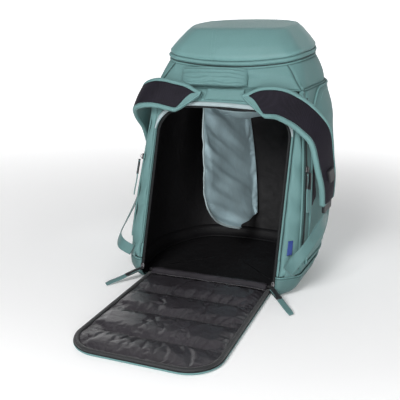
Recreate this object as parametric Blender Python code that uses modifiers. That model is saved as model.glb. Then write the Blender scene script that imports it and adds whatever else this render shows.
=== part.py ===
"""Ski boot backpack, standing open: its back panel is folded down in front of it as a mat.

Frame: +Z up, origin at the middle of the base's underside. The opening and the mat are at -Y,
the far side of the pack at +Y, and left and right are as seen when facing the opening.
"""

import math

import bmesh
import bpy
from mathutils import Matrix, Vector

# ---- driving dimensions, in metres ----
HINGE = Vector((0.0, -0.172, 0.020))  # the mat's hinge line, where the face meets the base
LEAN = math.radians(18.5)  # how far the back face leans away from upright
OPENING_HALF = 0.160  # half width of the boot opening
OPENING_RISE = 0.388  # height of the opening, up the slope from the hinge
OPENING_RADIUS = 0.068
MAT_HALF = 0.147
MAT_LENGTH = 0.3765
MAT_RADIUS = 0.066
WALL = 0.005  # padded wall
SEAM = 0.0010  # gap that stands for a seam between two sewn panels
CLEAR = 0.0004  # gap between pieces that touch
WEB_WIDTH = 0.025
STRAP_WIDTH = 0.068
STRAP_THICK = 0.011
FRAME_TOP = 0.432  # level where the flat face frame ends and the collar starts
RIM = 0.4845  # level of the collar's top edge, measured at the front

# Body sections: level, half width at the seam beside the opening's strip, how far that seam lies
# behind the face, widest half width, half width at the far side, y of the far side, and how much
# the section rises towards the far side.
SECTIONS = [
    (0.000, 0.200, 0.030, 0.206, 0.130, 0.160, 0.00),
    (0.045, 0.206, 0.030, 0.219, 0.134, 0.180, 0.00),
    (0.150, 0.204, 0.028, 0.227, 0.142, 0.216, 0.00),
    (0.260, 0.196, 0.024, 0.226, 0.145, 0.226, 0.00),
    (0.360, 0.185, 0.018, 0.217, 0.142, 0.217, 0.04),
    (0.432, 0.178, 0.014, 0.207, 0.132, 0.202, 0.10),
    (0.485, 0.156, 0.012, 0.180, 0.112, 0.190, 0.18),
]
FACE_HALF = 0.1710  # half width of the flat part of the face, where its side strips fold back
RIM_FACE_HALF = 0.132  # the same at the rim
FOLD_CUT = 0.005  # how far from its corner each bend starts
SEAM_CUT = 0.014
WIDE_CUT = 0.060
FAR_CUT = 0.060
WIDE_PLACE = 0.58  # where the widest point lies between front and far side
CROWN_OUT = 0.014  # how far the rim's near edge bows out at its middle
CROWN_DROP = 0.009  # how far it hangs there
CROWN_FROM = 0.450  # level where the bow starts
CROWN_HALF = 0.156  # half width over which it runs
CROWN_REACH = 0.12  # how far back from the near edge it fades out

GREEN = (0.105, 0.215, 0.190)
GREEN_DARK = (0.060, 0.140, 0.122)
GREEN_LIGHT = (0.180, 0.330, 0.300)
TEAL = (0.300, 0.450, 0.460)
GREY_GREEN = (0.420, 0.520, 0.510)
BLACK = (0.012, 0.012, 0.014)
CHARCOAL = (0.022, 0.020, 0.026)
METAL = (0.110, 0.110, 0.120)
BLUE = (0.030, 0.070, 0.270)

UP_FACE = Vector((0, math.sin(LEAN), math.cos(LEAN)))  # up the leaning face
OUT_FACE = Vector((0, -math.cos(LEAN), math.sin(LEAN)))  # out of the face


# ---- scene and material helpers ----
def clear_scene():
    for old in list(bpy.data.objects):
        bpy.data.objects.remove(old)


def new_collection(name):
    made = bpy.data.collections.new(name)
    bpy.context.scene.collection.children.link(made)
    return made


def material(name, colour, roughness=0.8, metallic=0.0):
    found = bpy.data.materials.get(name)
    if found:
        return found
    made = bpy.data.materials.new(name)
    made.use_nodes = True
    shader = made.node_tree.nodes["Principled BSDF"]
    shader.inputs["Base Color"].default_value = (*colour, 1.0)
    shader.inputs["Roughness"].default_value = roughness
    shader.inputs["Metallic"].default_value = metallic
    return made


clear_scene()
BAG = new_collection("ski_boot_bag")
CUTTERS = new_collection("cutters")

FABRIC = material("green_fabric", GREEN)
BASE_FABRIC = material("dark_green_base", GREEN_DARK, 0.6)
WEBBING = material("green_webbing", GREEN_LIGHT)
LINING = material("black_lining", BLACK, 0.45)
MESH = material("black_mesh", CHARCOAL)
FOAM = material("foam", (0.25, 0.25, 0.25), 0.9)
DIVIDER = material("teal_lining", TEAL)
BINDING = material("grey_binding", GREY_GREEN)
ZIP_TAPE = material("zip_tape", (0.018, 0.024, 0.024), 0.7)
HARDWARE = material("dark_metal", METAL, 0.35, 0.8)
PLASTIC = material("black_plastic", CHARCOAL, 0.45)
LABEL = material("label", BLUE)


def link(name, mesh, finish):
    made = bpy.data.objects.new(name, mesh)
    BAG.objects.link(made)
    mesh.materials.append(finish)
    return made


def from_faces(name, points, faces, finish):
    """A mesh object from points and faces, with its normals turned outward."""
    mesh = bpy.data.meshes.new(name)
    mesh.from_pydata([tuple(p) for p in points], [], faces)
    work = bmesh.new()
    work.from_mesh(mesh)
    bmesh.ops.recalc_face_normals(work, faces=work.faces)
    work.to_mesh(mesh)
    work.free()
    return link(name, mesh, finish)


def loft(name, rings, finish):
    """A closed solid skinned over rings of equally many points, capped at both ends."""
    count = len(rings[0])
    points = [p for ring in rings for p in ring]
    faces = []
    for row in range(len(rings) - 1):
        for i in range(count):
            j = (i + 1) % count
            a, b = row * count, (row + 1) * count
            faces.append((a + i, a + j, b + j, b + i))
    faces.append(tuple(range(count)))
    faces.append(tuple((len(rings) - 1) * count + i for i in range(count)))
    return from_faces(name, points, faces, finish)


def band(name, outer, inner, finish, closed):
    """A closed solid between two sheets of points, each a list of rows. closed joins the row ends."""
    rows, columns = len(outer), len(outer[0])
    points = [p for row in outer for p in row] + [p for row in inner for p in row]
    back = rows * columns
    faces = []
    spans = columns if closed else columns - 1
    for r in range(rows - 1):
        for c in range(spans):
            d = (c + 1) % columns
            a, b = r * columns, (r + 1) * columns
            faces.append((a + c, a + d, b + d, b + c))
            faces.append((back + a + c, back + b + c, back + b + d, back + a + d))
    for c in range(spans):
        d = (c + 1) % columns
        last = (rows - 1) * columns
        faces.append((c, back + c, back + d, d))
        faces.append((last + c, last + d, back + last + d, back + last + c))
    if not closed:
        for r in range(rows - 1):
            a, b = r * columns, (r + 1) * columns
            e, f = a + columns - 1, b + columns - 1
            faces.append((a, b, back + b, back + a))
            faces.append((e, back + e, back + f, f))
    return from_faces(name, points, faces, finish)


def cut(target, cutter):
    """Takes the cutter away from the target with a Boolean, and keeps the cutter as a wire helper."""
    change = target.modifiers.new("cut", "BOOLEAN")
    change.operation = "DIFFERENCE"
    change.object = cutter
    cutter.hide_render = True
    cutter.display_type = "WIRE"
    BAG.objects.unlink(cutter)
    CUTTERS.objects.link(cutter)


def block(name, low, high, finish, bevel=0.0):
    """A box between two corners, with its edges bevelled."""
    bpy.ops.mesh.primitive_cube_add(size=1)
    made = bpy.context.object
    made.name = name
    low, high = Vector(low), Vector(high)
    made.data.transform(Matrix.Diagonal((*(high - low), 1)))
    made.location = (low + high) / 2
    made.data.materials.append(finish)
    for holder in list(made.users_collection):
        holder.objects.unlink(made)
    BAG.objects.link(made)
    if bevel:
        edge = made.modifiers.new("edges", "BEVEL")
        edge.width = bevel
        edge.segments = 2
    return made


# ---- the body's outer surface ----
def section(level):
    """The section's sizes at a level, on a smooth curve through SECTIONS: outline's six, and tilt."""
    last = len(SECTIONS) - 2
    k = next((i for i in range(last) if level <= SECTIONS[i + 1][0]), last)
    low, high = SECTIONS[k], SECTIONS[k + 1]
    span = high[0] - low[0]
    t = (level - low[0]) / span

    def slope(i, column):
        a, b = SECTIONS[max(i - 1, 0)], SECTIONS[min(i + 1, last + 1)]
        return (b[column] - a[column]) / (b[0] - a[0]) * span

    sizes = []
    for column in range(1, 7):
        m0, m1 = slope(k, column), slope(k + 1, column)
        p0, p1 = low[column], high[column]
        value = (2 * t**3 - 3 * t**2 + 1) * p0 + (t**3 - 2 * t**2 + t) * m0
        value += (-2 * t**3 + 3 * t**2) * p1 + (t**3 - t**2) * m1
        sizes.append(value)
    share = max(0.0, (level - FRAME_TOP) / (RIM - FRAME_TOP))
    half = FACE_HALF + (RIM_FACE_HALF - FACE_HALF) * share
    return [half] + sizes[:5], sizes[5]


def face_y(z):
    """y of the leaning face's outside at height z."""
    return HINGE.y + (-HINGE.z + math.sin(LEAN) * (z - HINGE.z)) / math.cos(LEAN)


def face_point(x, rise, out=0.0):
    """A point on the leaning face, from its place across, its rise above the hinge and how proud it is."""
    return Vector((x, HINGE.y, HINGE.z)) + UP_FACE * rise + OUT_FACE * (HINGE.z + out)


def rise_at(z):
    """The rise up the face at which its outside is at height z."""
    return (z - HINGE.z - HINGE.z * math.sin(LEAN)) / math.cos(LEAN)


def bend(before, corner, after, cut_length, steps):
    """Points of a smooth bend that replaces a corner."""
    a = corner + (before - corner).normalized() * cut_length
    b = corner + (after - corner).normalized() * cut_length
    ts = [i / (steps - 1) for i in range(steps)]
    return [a * (1 - t) ** 2 + corner * (2 * t * (1 - t)) + b * t**2 for t in ts]


def outline(sizes, near_y):
    """The plan outline, from the middle of the face round by the right to the left."""
    half, seam, back, wide, far, far_y = sizes
    corners = [
        Vector((0, near_y)),
        Vector((half, near_y)),
        Vector((seam, near_y + back)),
        Vector((wide, near_y + WIDE_PLACE * (far_y - near_y))),
        Vector((far, far_y)),
        Vector((0, far_y + 0.010)),
    ]
    row = bend(*corners[0:3], FOLD_CUT, 3) + bend(*corners[1:4], SEAM_CUT, 5)
    row += bend(*corners[2:5], WIDE_CUT, 6) + bend(*corners[3:6], FAR_CUT, 7)
    mirrored_row = [Vector((-p.x, p.y)) for p in reversed(row)]
    return [corners[0]] + row + [corners[5]] + mirrored_row


COUNT = 44  # points in an outline
# Landmarks along it: the fold beside the opening, the seam, the far corner and the far middle.
FOLD, SEAM_MIDDLE, SEAM_END, FAR_CORNER, FAR_MIDDLE = 1, 6, 8, 18, 22


def shifted(points, inset):
    """The closed outline moved inwards, along its own normals."""
    moved = []
    for i, p in enumerate(points):
        along = (points[(i + 1) % len(points)] - points[i - 1]).normalized()
        moved.append(p + Vector((-along.y, along.x)) * inset)
    return moved


def loop(level, inset=0.0):
    """The body's outline at a level as points in space, moved inwards by inset."""
    sizes, tilt = section(level)
    near_y = face_y(level)
    plan = shifted(outline(sizes, near_y), inset)
    return [Vector((p.x, p.y, level + tilt * (p.y - near_y))) for p in plan]


def crown_share(p, near_y):
    """How much of the near edge's bow a point takes: 1 at its middle, below 0 at its corners."""
    across = min(1.0, abs(p.x) / CROWN_HALF)
    fade = min(1.0, max(0.0, 1 - (p.y - near_y) / CROWN_REACH))
    return (1 - 1.6 * across**2) * fade * fade * (3 - 2 * fade)


def crowned(points, near_y, bow=1.0, hang=1.0):
    """A closed loop with more points along its near edge, which bows out and hangs."""
    last = len(points) - 1
    fine = []
    for i, p in enumerate(points):
        fine.append(p)
        if i in (0, last):
            fine += [p.lerp(points[(i + 1) % len(points)], t) for t in (0.2, 0.4, 0.6, 0.8)]
    moved = []
    for p in fine:
        share = crown_share(p, near_y)
        moved.append(p - Vector((0, CROWN_OUT * bow * share, CROWN_DROP * hang * share)))
    return moved


def collar_loop(level, inset):
    """The collar's outline at a level, flat at the face frame's top and bowed at the rim."""
    share = min(1.0, max(0.0, (level - CROWN_FROM) / (RIM - CROWN_FROM)))
    share = share * share * (3 - 2 * share)
    return crowned(loop(level, inset), face_y(level), share, share)


def at_column(points, column):
    """The point of an outline at a whole or part column."""
    whole = math.floor(column)
    return points[whole % COUNT].lerp(points[(whole + 1) % COUNT], column - whole)


def on_body(level, column, out=0.0):
    """A point on the body's surface, or proud of it."""
    return at_column(loop(level, -out), column)


def evenly(low, high, count):
    return [low + (high - low) * i / (count - 1) for i in range(count)]


def columns_between(first, last):
    """The two ends of a span and every whole column between them."""
    return [first] + list(range(math.floor(first) + 1, math.ceil(last))) + [last]


def skin(name, finish, levels, columns, outer, inner, swell=0.0):
    """A sewn panel over the body. outer and inner say how far inside the surface its faces lie.

    columns is one list for every level, or a function from the level to a list. swell pads the
    panel's middle outward.
    """
    sheets = []
    for inset, puff in ((outer, swell), (inner, 0.0)):
        rows = []
        for i, level in enumerate(levels):
            chosen = columns(level) if callable(columns) else columns
            plain, padded = loop(level, inset), loop(level, inset - puff)
            v = i / (len(levels) - 1)
            row = []
            for column in chosen:
                u = (column - chosen[0]) / (chosen[-1] - chosen[0])
                share = min(1.0, 2.2 * math.sin(math.pi * u) * math.sin(math.pi * v))
                row.append(at_column(plain, column).lerp(at_column(padded, column), share))
            rows.append(row)
        sheets.append(rows)
    return band(name, sheets[0], sheets[1], finish, closed=False)


def mirrored(columns):
    """The same span of columns on the left side."""
    return [COUNT - c for c in reversed(columns)]


def aligned(made, location, x_axis, z_axis):
    """Places an object so that its own x and z point along the given directions."""
    x = Vector(x_axis).normalized()
    y = Vector(z_axis).cross(x).normalized()
    z = x.cross(y)
    made.rotation_euler = Matrix((x, y, z)).transposed().to_euler()
    made.location = location
    return made


def pivot(name, location, riders):
    """An empty on a joint's axis, carrying the pieces that move with it."""
    empty = bpy.data.objects.new(name, None)
    BAG.objects.link(empty)
    empty.location = location
    for rider in riders:
        rider.parent = empty
        rider.matrix_parent_inverse = Matrix.Translation(location).inverted()
    return empty


def plate(name, points, thick, finish):
    """A flat piece cut to an outline in its own xy plane, with its middle at z = 0."""
    curve = bpy.data.curves.new(name, "CURVE")
    curve.dimensions = "2D"
    curve.fill_mode = "BOTH"
    curve.extrude = thick / 2
    spline = curve.splines.new("POLY")
    spline.points.add(len(points) - 1)
    for point, (x, y) in zip(spline.points, points):
        point.co = (x, y, 0, 1)
    spline.use_cyclic_u = True
    made = link(name, curve, finish)
    return made


def face_plate(name, points, thick, out, finish):
    """A plate lying on the leaning face: x across, y up the slope, its outside proud by out."""
    made = plate(name, points, thick, finish)
    made.location = face_point(0, 0, out - thick / 2)
    made.rotation_euler.x = math.pi / 2 - LEAN
    return made


def tube(name, points, radius, finish, closed=False):
    """A round cord along points, with filled ends."""
    curve = bpy.data.curves.new(name, "CURVE")
    curve.dimensions = "3D"
    curve.bevel_depth = radius
    curve.bevel_resolution = 2
    curve.use_fill_caps = True
    spline = curve.splines.new("POLY")
    spline.points.add(len(points) - 1)
    for point, p in zip(spline.points, points):
        point.co = (*p, 1)
    spline.use_cyclic_u = closed
    return link(name, curve, finish)


def ribbon(name, middles, acrosses, normals, widths, thicks, finish):
    """A flat strip lofted along its middle line, with softened edges."""
    rings = []
    for middle, across, normal, width, thick in zip(middles, acrosses, normals, widths, thicks):
        a = across.normalized() * (width / 2)
        n = normal.normalized() * (thick / 2)
        top = [(s, 1) for s in (0.9, 0.54, 0.18, -0.18, -0.54, -0.9)]
        rim = [(1, -0.5), (1, 0.5)] + top + [(-1, 0.5), (-1, -0.5)] + [(s, -t) for s, t in top[::-1]]
        rings.append([middle + a * s + n * t for s, t in rim])
    return loft(name, rings, finish)


def strip(name, points, normal, width, thick, finish):
    """A ribbon of one width through a few points, all facing the same way."""
    normal = Vector(normal).normalized()
    acrosses = []
    for i in range(len(points)):
        along = points[min(i + 1, len(points) - 1)] - points[max(i - 1, 0)]
        acrosses.append(normal.cross(along))
    count = len(points)
    return ribbon(name, points, acrosses, [normal] * count, [width] * count, [thick] * count, finish)


# ---- the shell ----
TRAY_TURN = [(0.0, 0.025), (0.003, 0.0175), (0.012, 0.007), (0.026, 0.001), (0.045, 0.0)]
TRAY_THICK = 0.003


def base_loop(z, drawn, inset=0.0):
    """The base's outline at height z, drawn in towards its middle and then offset."""
    half, seam, back, wide, far, far_y = section(z)[0]
    sizes = (half - drawn * 0.4, seam - drawn, back, wide - drawn, far - drawn * 0.7, far_y - drawn)
    plan = outline(sizes, face_y(z) + drawn)
    return [Vector((p.x, p.y, z)) for p in shifted(plan, inset)]


def make_base():
    outer = [base_loop(z, drawn) for z, drawn in TRAY_TURN]
    inner = [base_loop(max(z, TRAY_THICK), drawn, TRAY_THICK) for z, drawn in TRAY_TURN[1:]]
    tray = loft("base_tray", inner + outer[::-1], BASE_FABRIC)
    notch = block(
        "mat_notch",
        (-OPENING_HALF - CLEAR, -0.30, -0.01),
        (OPENING_HALF + CLEAR, HINGE.y + 0.0012, 0.06),
        BASE_FABRIC,
    )
    cut(tray, notch)
    front = HINGE.y + 0.0115
    plan = base_loop(0.010, 0.0230)
    rings = [[Vector((p.x, max(p.y, front), z)) for p in plan] for z in (0.0035, 0.0060)]
    loft("floor_lining", rings, LINING)
    reach = OPENING_HALF - 0.012
    block(
        "mat_sill",
        (-reach, HINGE.y + 0.0016, 0.0035),
        (reach, HINGE.y + 0.0105, 0.0190),
        FABRIC,
        0.003,
    )


def opening_arch(half, top, radius, foot, steps=9):
    """The arch of the opening from its right foot over the top to its left foot."""
    right = [(half, foot)]
    for i in range(steps):
        turn = math.pi / 2 * i / (steps - 1)
        x = half - radius + radius * math.cos(turn)
        right.append((x, top - radius + radius * math.sin(turn)))
    return right + [(-x, y) for x, y in reversed(right)]


def make_face():
    low, high = 0.0478, FRAME_TOP - 0.0005
    half = FACE_HALF - FOLD_CUT - SEAM / 2
    edge = [(half, rise_at(low)), (half, rise_at(high))]
    outside = edge + [(-x, y) for x, y in reversed(edge)]
    arch = opening_arch(OPENING_HALF, OPENING_RISE, OPENING_RADIUS, edge[0][1])
    face_plate("face_frame", outside + arch[::-1], WALL, 0.0, FABRIC)
    foot = -0.006
    wide = opening_arch(OPENING_HALF - CLEAR, OPENING_RISE - CLEAR, OPENING_RADIUS, foot)
    narrow = opening_arch(0.1505, OPENING_RISE - 0.0095, OPENING_RADIUS - 0.009, foot)
    face_plate("opening_zip_tape", wide + narrow[::-1], 0.0012, -0.0018, ZIP_TAPE)
    line = opening_arch(OPENING_HALF + 0.0035, OPENING_RISE + 0.0035, OPENING_RADIUS, 0.066)
    tube("opening_binding", [face_point(x, y, 0.0034) for x, y in line], 0.003, BINDING)
    slant = [(0.034, rise_at(0.429)), (-0.034, rise_at(0.429))]
    slant += [(-0.042, rise_at(0.404)), (0.042, rise_at(0.404))]
    face_plate("yoke_panel", slant, 0.006, 0.0064, FABRIC)


LEVELS = evenly(0.0462, 0.3820, 8) + [0.4160, FRAME_TOP]
EDGE = columns_between(FOLD + 0.10, SEAM_MIDDLE - 0.06)
SIDE = columns_between(SEAM_MIDDLE + 0.06, FAR_CORNER - 0.05)
FAR_SIDE = columns_between(FAR_CORNER + 0.05, COUNT - FAR_CORNER - 0.05)
LINING_SPAN = columns_between(1.10, COUNT - 1.10)
POCKET = columns_between(SEAM_END + 0.12, 16)
ZIP = columns_between(SEAM_MIDDLE - 1, SEAM_MIDDLE + 1)
FAR_POCKET = columns_between(19, 25)


POCKET_LEVELS = [0.064] + LEVELS[1:9] + [0.425]
POCKET_SWELL = 0.006
MESH_LEVELS = [0.186, 0.200, 0.215, 0.230, 0.245, 0.262, 0.278]


def pocket_point(level, column, out):
    """A point proud of the padded side pocket."""
    u = (column - POCKET[0]) / (POCKET[-1] - POCKET[0])
    v = (level - POCKET_LEVELS[0]) / (POCKET_LEVELS[-1] - POCKET_LEVELS[0])
    share = min(1.0, 2.2 * math.sin(math.pi * u) * math.sin(math.pi * v))
    return on_body(level, column, out + POCKET_SWELL * share)


def side_mesh(name, left):
    """The mesh patch on a side pocket, behind the zip, narrowing to a point at its bottom."""
    sheets = []
    for out in (0.0058, 0.0046):
        rows = []
        for i, level in enumerate(MESH_LEVELS):
            wide = 0.05 + 0.50 * min(1.0, i / 3.5)
            row = [pocket_point(level, 8.22 + wide * t, out) for t in (0.0, 0.33, 0.67, 1.0)]
            if left:
                row = [Vector((-p.x, p.y, p.z)) for p in row[::-1]]
            rows.append(row)
        sheets.append(rows)
    return band(name, sheets[0], sheets[1], MESH, closed=False)


def tab(name, levels, widths, finish, low, high, left=False):
    """A flat tab sewn on the strip beside the opening. widths are its columns at each level."""
    sheets = []
    for out in (high, low):
        rows = []
        for level, (first, last) in zip(levels, widths):
            row = [on_body(level, first + (last - first) * t, out) for t in (0.0, 0.5, 1.0)]
            if left:
                row = [Vector((-p.x, p.y, p.z)) for p in row[::-1]]
            rows.append(row)
        sheets.append(rows)
    return band(name, sheets[0], sheets[1], finish, closed=False)


def make_panels():
    tab("label_tab", (0.094, 0.108, 0.122), [(3.05, 3.45)] * 3, LABEL, 0.0005, 0.0017)
    for side in ("right", "left"):
        widths = [(3.06, 3.98), (3.10, 3.80), (3.16, 3.62)]
        tab("strap_anchor_" + side, (0.0480, 0.062, 0.076), widths, WEBBING, 0.0006, 0.0020,
            side == "left")
    for side, turn in (("right", list), ("left", mirrored)):
        skin("side_panel_" + side, FABRIC, LEVELS, turn(SIDE), 0.0, WALL)
        skin("edge_strip_" + side, FABRIC, LEVELS, turn(EDGE), 0.0, WALL)
        skin("side_pocket_" + side, FABRIC, POCKET_LEVELS, turn(POCKET), -0.0030, -0.0006,
             POCKET_SWELL)
        side_mesh("side_mesh_" + side, side == "left")
        zip_levels = [0.060] + LEVELS[1:9]
        skin("side_zip_" + side, ZIP_TAPE, zip_levels, turn(ZIP), -0.0020, -0.0006)
    skin("far_panel", FABRIC, LEVELS, FAR_SIDE, 0.0, WALL)
    pocket = [0.070] + LEVELS[1:6] + [0.300]
    skin("far_pocket", FABRIC, pocket, FAR_POCKET, -0.0030, -0.0006, 0.008)
    skin("far_zip", ZIP_TAPE, [0.3065, 0.3165], FAR_POCKET, -0.0020, -0.0006)
    wall_levels = [0.0300] + LEVELS[:9]
    skin("wall_lining", LINING, wall_levels, LINING_SPAN, WALL + 0.0006, WALL + 0.0018)
    floor = [loop(level, WALL + 0.0020) for level in (0.4185, 0.4205)]
    loft("lid_pocket_floor", floor, DIVIDER)
    rows = [collar_loop(level, 0.0) for level in evenly(FRAME_TOP + 0.001, RIM, 7)]
    inside = [collar_loop(level, WALL) for level in evenly(FRAME_TOP + 0.001, RIM, 7)]
    band("collar", rows, inside, FABRIC, closed=True)


# ---- the divider ----
# The divider's free front edge, from its top to the floor: x, and height.
DIVIDER_FRONT = [(-0.046, 0.395), (-0.041, 0.330), (-0.040, 0.270), (-0.040, 0.194),
                 (-0.036, 0.152), (-0.025, 0.116), (-0.006, 0.092), (0.014, 0.078)]
DIVIDER_THICK = 0.002
DIVIDER_Y = -0.070  # y of the free edge where the face's lean leaves room for it


def divider_points():
    """Rows of points down the divider, each running from the free edge to the far wall."""
    rows = []
    count = len(DIVIDER_FRONT) - 1
    for i, (x, z) in enumerate(DIVIDER_FRONT):
        t = i / count
        near = Vector((x, max(DIVIDER_Y, face_y(z) + 0.029), z))
        if t > 0.6:
            near.y += 0.10 * (t - 0.6) / 0.4
        far = Vector((-0.030 + 0.045 * t, 0, 0.408 - 0.335 * t))
        far.y = section(far.z)[0][5] - 0.010
        row = [near.lerp(far, s) for s in (0.0, 0.25, 0.5, 0.75, 1.0)]
        rows.append(row)
    return rows


def make_divider():
    rows = divider_points()
    left = [[p + Vector((-DIVIDER_THICK / 2, 0, 0)) for p in row] for row in rows]
    right = [[p + Vector((DIVIDER_THICK / 2, 0, 0)) for p in row] for row in rows]
    band("divider_curtain", left, right, DIVIDER, closed=False)
    edge = []
    for i, row in enumerate(rows):
        along = rows[min(i + 1, len(rows) - 1)][0] - rows[max(i - 1, 0)][0]
        inward = row[1] - row[0]
        away = (inward.dot(along) / along.length_squared * along - inward).normalized()
        edge.append(row[0] + away * 0.0042)
    tube("divider_binding", edge, 0.0028, BINDING)


# ---- the mat ----
def mat_outline(inset, near):
    half, length, radius = MAT_HALF - inset, MAT_LENGTH - inset, MAT_RADIUS - inset
    return opening_arch(half, length, radius, near)


MAT_SEAMS = (0.27, 0.52, 0.78)  # quilt seams, as shares of the mat's length
MAT_NEAR = 0.0045
MAT_LEVELS = {"cover": (0.0006, 0.0040), "board": (0.0044, 0.0062), "lining": (0.0066, 0.0170)}


def mat_half_at(rise, inset):
    """Half width of the mat, less an inset, at a distance from its hinge."""
    radius, end = MAT_RADIUS - inset, MAT_LENGTH - inset
    over = max(0.0, rise - (end - radius))
    return MAT_HALF - inset - radius + math.sqrt(max(0.0, radius**2 - over**2))


def make_mat():
    def flat(name, outline_points, low, high, finish):
        made = plate(name, outline_points, high - low, finish)
        made.rotation_euler.z = math.pi
        made.location = (0, HINGE.y, (low + high) / 2)
        return made

    cover = flat("mat_cover", mat_outline(0.0, MAT_NEAR), *MAT_LEVELS["cover"], FABRIC)
    board = flat("mat_board", mat_outline(0.0095, MAT_NEAR), *MAT_LEVELS["board"], FOAM)
    low = MAT_LEVELS["board"][0]
    ring = mat_outline(0.0003, MAT_NEAR) + mat_outline(0.0090, MAT_NEAR)[::-1]
    tape = flat("mat_zip_tape", ring, low, low + 0.0024, ZIP_TAPE)
    inset = 0.0080
    low, high = MAT_LEVELS["lining"]
    low += 0.0010
    length = MAT_LENGTH - inset
    rises = [MAT_NEAR, 0.012, 0.040, 0.070, 0.094, 0.104, 0.114, 0.140, 0.170, 0.190, 0.200]
    rises += [0.210, 0.236, 0.266, 0.290, 0.300, 0.310, 0.326, 0.342, 0.356, 0.367, 0.373, length]
    rows_top, rows_low = [], []
    for rise in rises:
        half = mat_half_at(rise, inset)
        y = HINGE.y - rise
        near_seam = min(abs(rise / MAT_LENGTH - seam) for seam in MAT_SEAMS)
        pad = min(1.0, near_seam / 0.05, max(0.0, length - rise) / 0.02)
        pad = math.sqrt(pad)
        top, base = [], []
        for u in (-1.0, -0.93, -0.80, -0.4, 0.0, 0.4, 0.80, 0.93, 1.0):
            share = pad * min(1.0, math.sqrt(max(0.0, (1 - abs(u)) / 0.2)))
            top.append(Vector((u * half, y, low + 0.0035 + (high - low - 0.0035) * share)))
            base.append(Vector((u * half, y, low)))
        rows_top.append(top)
        rows_low.append(base)
    lining = band("mat_lining", rows_top, rows_low, LINING, closed=False)
    pivot("mat_pivot", HINGE, [cover, board, tape, lining])


# ---- the lid ----
LID_HINGE = Vector((0, 0.2010, 0.5460))
# The dome's rings: how far up it is, how far its sides and its near edge are drawn in, and the
# slope of its plane.
LID_RINGS = [(0.000, 0.000, 0.000, 0.180), (0.008, 0.002, 0.002, 0.178), (0.026, 0.017, 0.014, 0.165),
             (0.046, 0.034, 0.032, 0.145), (0.055, 0.043, 0.041, 0.135), (0.058, 0.052, 0.050, 0.130)]
LID_LOW = 0.0148  # height of the dome's lowest ring above the rim
LID_WALL = 0.004


def lid_ring(step, inset, lower=0.0):
    """One ring of the dome, following the rim's outline drawn in by the ring's own amount."""
    rise, drawn, shift, slope = LID_RINGS[step]
    half, seam, back, wide, far, far_y = section(RIM)[0]
    near = face_y(RIM)
    sizes = (half - drawn * 0.9 - inset, seam - drawn * 0.95 - inset, back, wide - drawn - inset,
             far - drawn * 0.6 - inset * 0.7, far_y)
    plan = outline(sizes, near)
    span = far_y + 0.010 - near
    squeeze = (span - shift - drawn * 0.6 - inset * 2) / span
    plan = [Vector((p.x, near + shift + inset + (p.y - near) * squeeze)) for p in plan]
    base = RIM + LID_LOW + rise - lower
    ring = [Vector((p.x, p.y, base + slope * (p.y - near))) for p in plan]
    return crowned(ring, near, 1.0, 1 - rise / LID_RINGS[-1][0])


def rim_loop(rise, inset):
    """The rim's outline, lifted."""
    return [p + Vector((0, 0, rise)) for p in collar_loop(RIM, inset)]


def rim_band(name, low, high, inset):
    outer = [rim_loop(low, inset), rim_loop(high, inset)]
    inner = [rim_loop(low, 0.0090), rim_loop(high, 0.0090)]
    return band(name, outer, inner, ZIP_TAPE, closed=True)


def make_lid():
    count = len(LID_RINGS)
    outer = [lid_ring(i, 0.0) for i in range(count)]
    inner = [lid_ring(i, LID_WALL, LID_WALL if i == count - 1 else 0.0) for i in range(count)]
    dome = loft("lid_dome", outer[::-1] + inner, FABRIC)
    rim_band("rim_zip_tape", 0.0006, 0.0026, 0.0010)
    tape = rim_band("lid_zip_tape", 0.0032, 0.0052, 0.0005)
    welt = tube("lid_welt", rim_loop(0.0100, 0.0015), 0.0040, FABRIC, closed=True)
    pivot("lid_pivot", LID_HINGE, [dome, tape, welt])


# ---- zips, handle and straps ----
def slider(name, place, along, out, length=0.013, width=0.0085, tall=0.0036):
    """A zip slider: a softened block lying along its zip, standing on place."""
    half = Vector((width / 2, length / 2, tall / 2))
    made = block(name, -half, half, HARDWARE, 0.0012)
    out = Vector(out).normalized()
    across = Vector(along).cross(out)
    return aligned(made, Vector(place) + out * (tall / 2), across, out)


def make_zips():
    for side, sign in (("right", 1), ("left", -1)):
        place = face_point(sign * 0.1555, 0.004, -0.0012)
        made = slider("main_slider_" + side, place, UP_FACE, OUT_FACE)
        nose = face_point(sign * 0.1575, -0.004, 0.0100)
        tail = Vector((sign * 0.214, HINGE.y - 0.088, 0.0022))
        points = [nose, nose.lerp(tail, 0.3), nose.lerp(tail, 0.65), tail]
        pull = strip("main_pull_" + side, points, (0, -0.2, 1), 0.0110, 0.0026, WEBBING)
        pivot("main_pull_pivot_" + side, nose, [pull])
        pivot("main_slider_pivot_" + side, place, [made])

        column = SEAM_MIDDLE if sign > 0 else COUNT - SEAM_MIDDLE
        place = on_body(0.267, column, 0.0038)
        normal = on_body(0.267, column, 0.02) - on_body(0.267, column, 0.0)
        along = on_body(0.300, column) - on_body(0.240, column)
        made = slider("side_slider_" + side, place, along, normal)
        nose = on_body(0.258, column, 0.0120)
        tail = on_body(0.178, column, 0.0105)
        points = [nose, nose.lerp(tail, 0.5), tail]
        pull = strip("side_pull_" + side, points, normal, 0.0110, 0.0028, WEBBING)
        pivot("side_pull_pivot_" + side, nose, [pull])
        pivot("side_slider_pivot_" + side, place, [made])

    column = 21.3
    place = on_body(0.3115, column, 0.0028)
    along = on_body(0.3115, 21.9) - on_body(0.3115, 21.1)
    normal = on_body(0.3115, column, 0.02) - on_body(0.3115, column, 0.0)
    made = slider("far_slider", place, along, normal)
    nose = place + along.normalized() * 0.009 + normal.normalized() * 0.0060
    drop = [nose, nose + Vector((0, 0.0150, -0.030)), nose + Vector((0, 0.0200, -0.060))]
    pull = strip("far_pull", drop, normal, 0.0110, 0.0026, WEBBING)
    pivot("far_pull_pivot", nose, [pull])
    pivot("far_slider_pivot", place, [made])


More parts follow.
